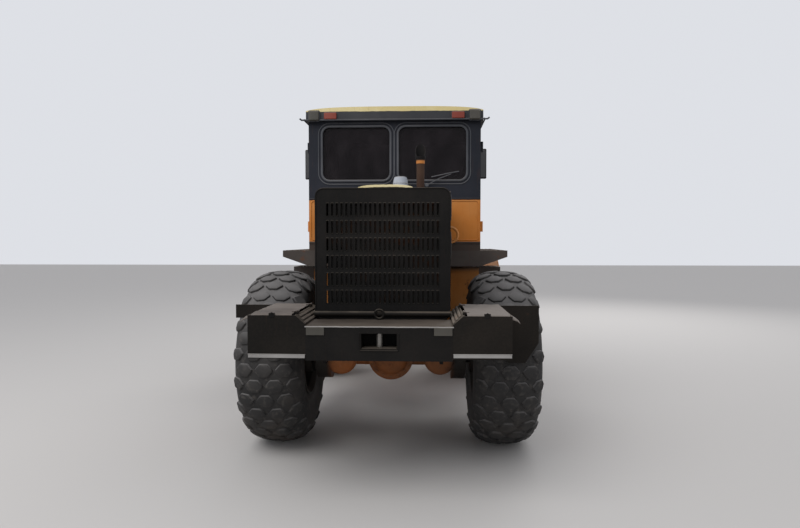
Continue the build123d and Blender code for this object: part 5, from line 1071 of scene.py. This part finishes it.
# Axles: the cover of each differential with its bolts, and the domes of the rear brake chambers.
# Rows of cover and dome: distance outwards, radius. Rows of the covers: name, body, y, direction.
differential = {"cover": [(0.0, 0.150), (0.022, 0.142), (0.042, 0.112), (0.052, 0.060), (0.054, 0.010)],
                "circle": 0.170, "plugZ": 0.690, "plugOut": 0.050}
chamber = {"places": (-0.42, 0.42), "dome": [(0.0, 0.122), (0.016, 0.116), (0.028, 0.088), (0.033, 0.020)],
           "bead": 0.129, "beadIn": 0.045, "circle": 0.060, "boltsOut": 0.026}
axleZ, chamberY = wheel["z"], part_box("rear_axle")[0].y
coverRows = [("rear_axle_cover", "rear_half", -2.125, -1), ("front_axle_cover", "front_half", 0.975, 1)]
for name, body, y, way in coverRows:
    centre, axis = (0, y, axleZ), (0, way, 0)
    cover = [revolved(differential["cover"], centre, axis, 36),
             boltHeads(ringPlaces(centre, differential["circle"], axis, 16), axis, 0.010, 0.009),
             boltHeads([(0, y + way * differential["plugOut"], differential["plugZ"])], axis, 0.014, 0.012)]
    for x in chamber["places"] if way < 0 else ():
        centre = (x, chamberY, axleZ)
        cover.append(revolved(chamber["dome"], centre, axis, 32))
        cover.append(beadRing((x, chamberY + chamber["beadIn"], axleZ), chamber["bead"], (0, 1, 0), 0.007))
        bolts = ringPlaces(centre, chamber["circle"], axis, 4) - (0, chamber["boltsOut"], 0)
        cover.append(boltHeads(bolts, axis, 0.009, 0.008))
    makePiece(name, joined(cover), axlePaint, body)

# Hood seams: ridges across its top with bolts beside them.
seamForm = {"halfWidth": 0.41, "y": (-2.02, -2.62), "bolts": (-0.38, -0.13, 0.38), "boltBeside": 0.03}
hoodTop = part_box("radiator_guard")[1].z
across = np.linspace(-seamForm["halfWidth"], seamForm["halfWidth"], 24)
ridges = []
for y in seamForm["y"]:
    line = np.stack([across, np.full(len(across), y)], -1)
    ridges.append(tube(atZ(hoodTop + 0.001, line), 0.004, 6))
bolts = [(x, y + seamForm["boltBeside"], hoodTop) for x in seamForm["bolts"] for y in seamForm["y"]]
ridges.append(boltHeads(bolts, (0, 0, 1), 0.010, 0.007))
makePiece("hood_seams", joined(ridges), darkPaint, "rear_half")

# Front wall: the windscreen's wiper and the border of the panel below it.
frontWall = {"pivot": (0.0, -0.150, 1.915), "cap": [(0, 0.018), (0.026, 0.018), (0.032, 0.012)],
             "arm": [(0.0, -0.124, 1.915), (-0.14, -0.120, 2.08), (-0.27, -0.126, 2.26)],
             "blade": [(-0.40, -0.136, 2.15), (-0.27, -0.134, 2.26), (-0.14, -0.136, 2.37)],
             "panel": (1.40, 0.20), "panelY": -0.1495, "panelZ": 1.80}
wiper = [revolved(frontWall["cap"], frontWall["pivot"], (0, 1, 0), 16), tube(frontWall["arm"], 0.005, 8),
         tube(frontWall["blade"], 0.0055, 8)]
makePiece("front_wiper", joined(wiper), seal, "rear_half")
path = roundedOutline(*frontWall["panel"], 0.03, 5) + (0, frontWall["panelZ"])
border = tube(atY(frontWall["panelY"], path), 0.005, 8, True)
makePiece("front_border", border, cabPaint, "rear_half")

# Front frame: bolts over the axle's saddles and along the side plates.
frameBolts = {"x": 0.300, "saddleY": (0.78, 0.85, 0.92), "saddleZ": (0.885, 0.925),
              "plateY": (0.10, 0.30, 0.50, 0.70), "plateZ": 1.18}
saddles = [(frameBolts["x"], y, z) for y in frameBolts["saddleY"] for z in frameBolts["saddleZ"]]
plates = [(frameBolts["x"], y, frameBolts["plateZ"]) for y in frameBolts["plateY"]]
bolts = [boltHeads(saddles, (1, 0, 0), 0.013, 0.011), boltHeads(plates, (1, 0, 0), 0.011, 0.009)]
makePiece("front_frame_bolts", bothSides(bolts), orangePaint, "front_half")
print("front dressed")

# Seat: two cushions, each with a welt round it, on a pan and a back plate. voxel is the mesh size in
# the full and the quick version; cap is how far the cloth may swell.
seatForm = {"pan": {"centre": (0, -1.125, 2.140), "size": (0.455, 0.465, 0.096), "cap": 0.016},
            "back": {"centre": (0, -1.375, 2.420), "size": (0.425, 0.088, 0.575), "cap": 0.014},
            "panWelt": (0.470, 0.480), "backWelt": (0.440, 0.590), "weltRadius": 0.006,
            "voxel": (0.006, 0.010), "frames": 20}


def vertexArray(mesh):
    places = np.empty(len(mesh.vertices) * 3)
    mesh.vertices.foreach_get("co", places)
    return places.reshape(-1, 3)


# A closed pad blown up by cloth simulation, each point's way held below cap.
def cushion(name, centre, size, cap):
    piece = makePiece(name, slab(centre, size, 0.05, 0.012), leather, "rear_half")
    remesh = piece.modifiers.new("remesh", "REMESH")
    remesh.mode, remesh.voxel_size = "VOXEL", seatForm["voxel"][0]
    bpy.context.view_layer.objects.active = piece
    bpy.ops.object.select_all(action="DESELECT")
    piece.select_set(True)
    bpy.ops.object.modifier_apply(modifier="remesh")
    mesh = piece.data
    start = vertexArray(mesh)
    cloth = piece.modifiers.new("cloth", "CLOTH")
    settings = cloth.settings
    settings.use_pressure, settings.uniform_pressure_force = True, 4.0
    settings.quality, settings.mass, settings.effector_weights.gravity = 6, 0.3, 0.0
    settings.tension_stiffness = settings.compression_stiffness = 15.0
    cloth.collision_settings.use_collision = False
    for step in range(1, seatForm["frames"] + 1):
        bpy.context.scene.frame_set(step)
    blown = piece.evaluated_get(bpy.context.evaluated_depsgraph_get())
    shift = vertexArray(blown.data) - start
    length = np.linalg.norm(shift, axis=1)[:, None]
    piece.modifiers.remove(cloth)
    bpy.context.scene.frame_set(1)
    shift *= np.minimum(1, cap / np.maximum(length, 1e-9))
    mesh.vertices.foreach_set("co", (start + shift).ravel())
    mesh.polygons.foreach_set("use_smooth", np.ones(len(mesh.polygons), bool))
    mesh.update()
    smooth = piece.modifiers.new("smooth", "SUBSURF")
    smooth.levels = smooth.render_levels = 1
    return piece


pan = cushion("seat_cushion", *seatForm["pan"].values())
cushion("seat_back", *seatForm["back"].values())
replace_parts(pan, "seat")
panX, panY, panZ = seatForm["pan"]["centre"]
backX, backY, backZ = seatForm["back"]["centre"]
panWelt = roundedOutline(*seatForm["panWelt"], 0.055, 8) + (panX, panY)
backWelt = roundedOutline(*seatForm["backWelt"], 0.055, 8) + (backX, backZ)
trim = [tube(atZ(panZ, panWelt), seatForm["weltRadius"], 8, True),
        tube(atY(backY, backWelt), seatForm["weltRadius"], 8, True),
        slab((0, -1.125, 2.088), (0.400, 0.400, 0.014), 0.03, 0.003),
        slab((0, -1.418, 2.36), (0.10, 0.012, 0.50), 0.004, 0.003)]
makePiece("seat_welts", joined(trim), leather, "rear_half")
print("seat made")
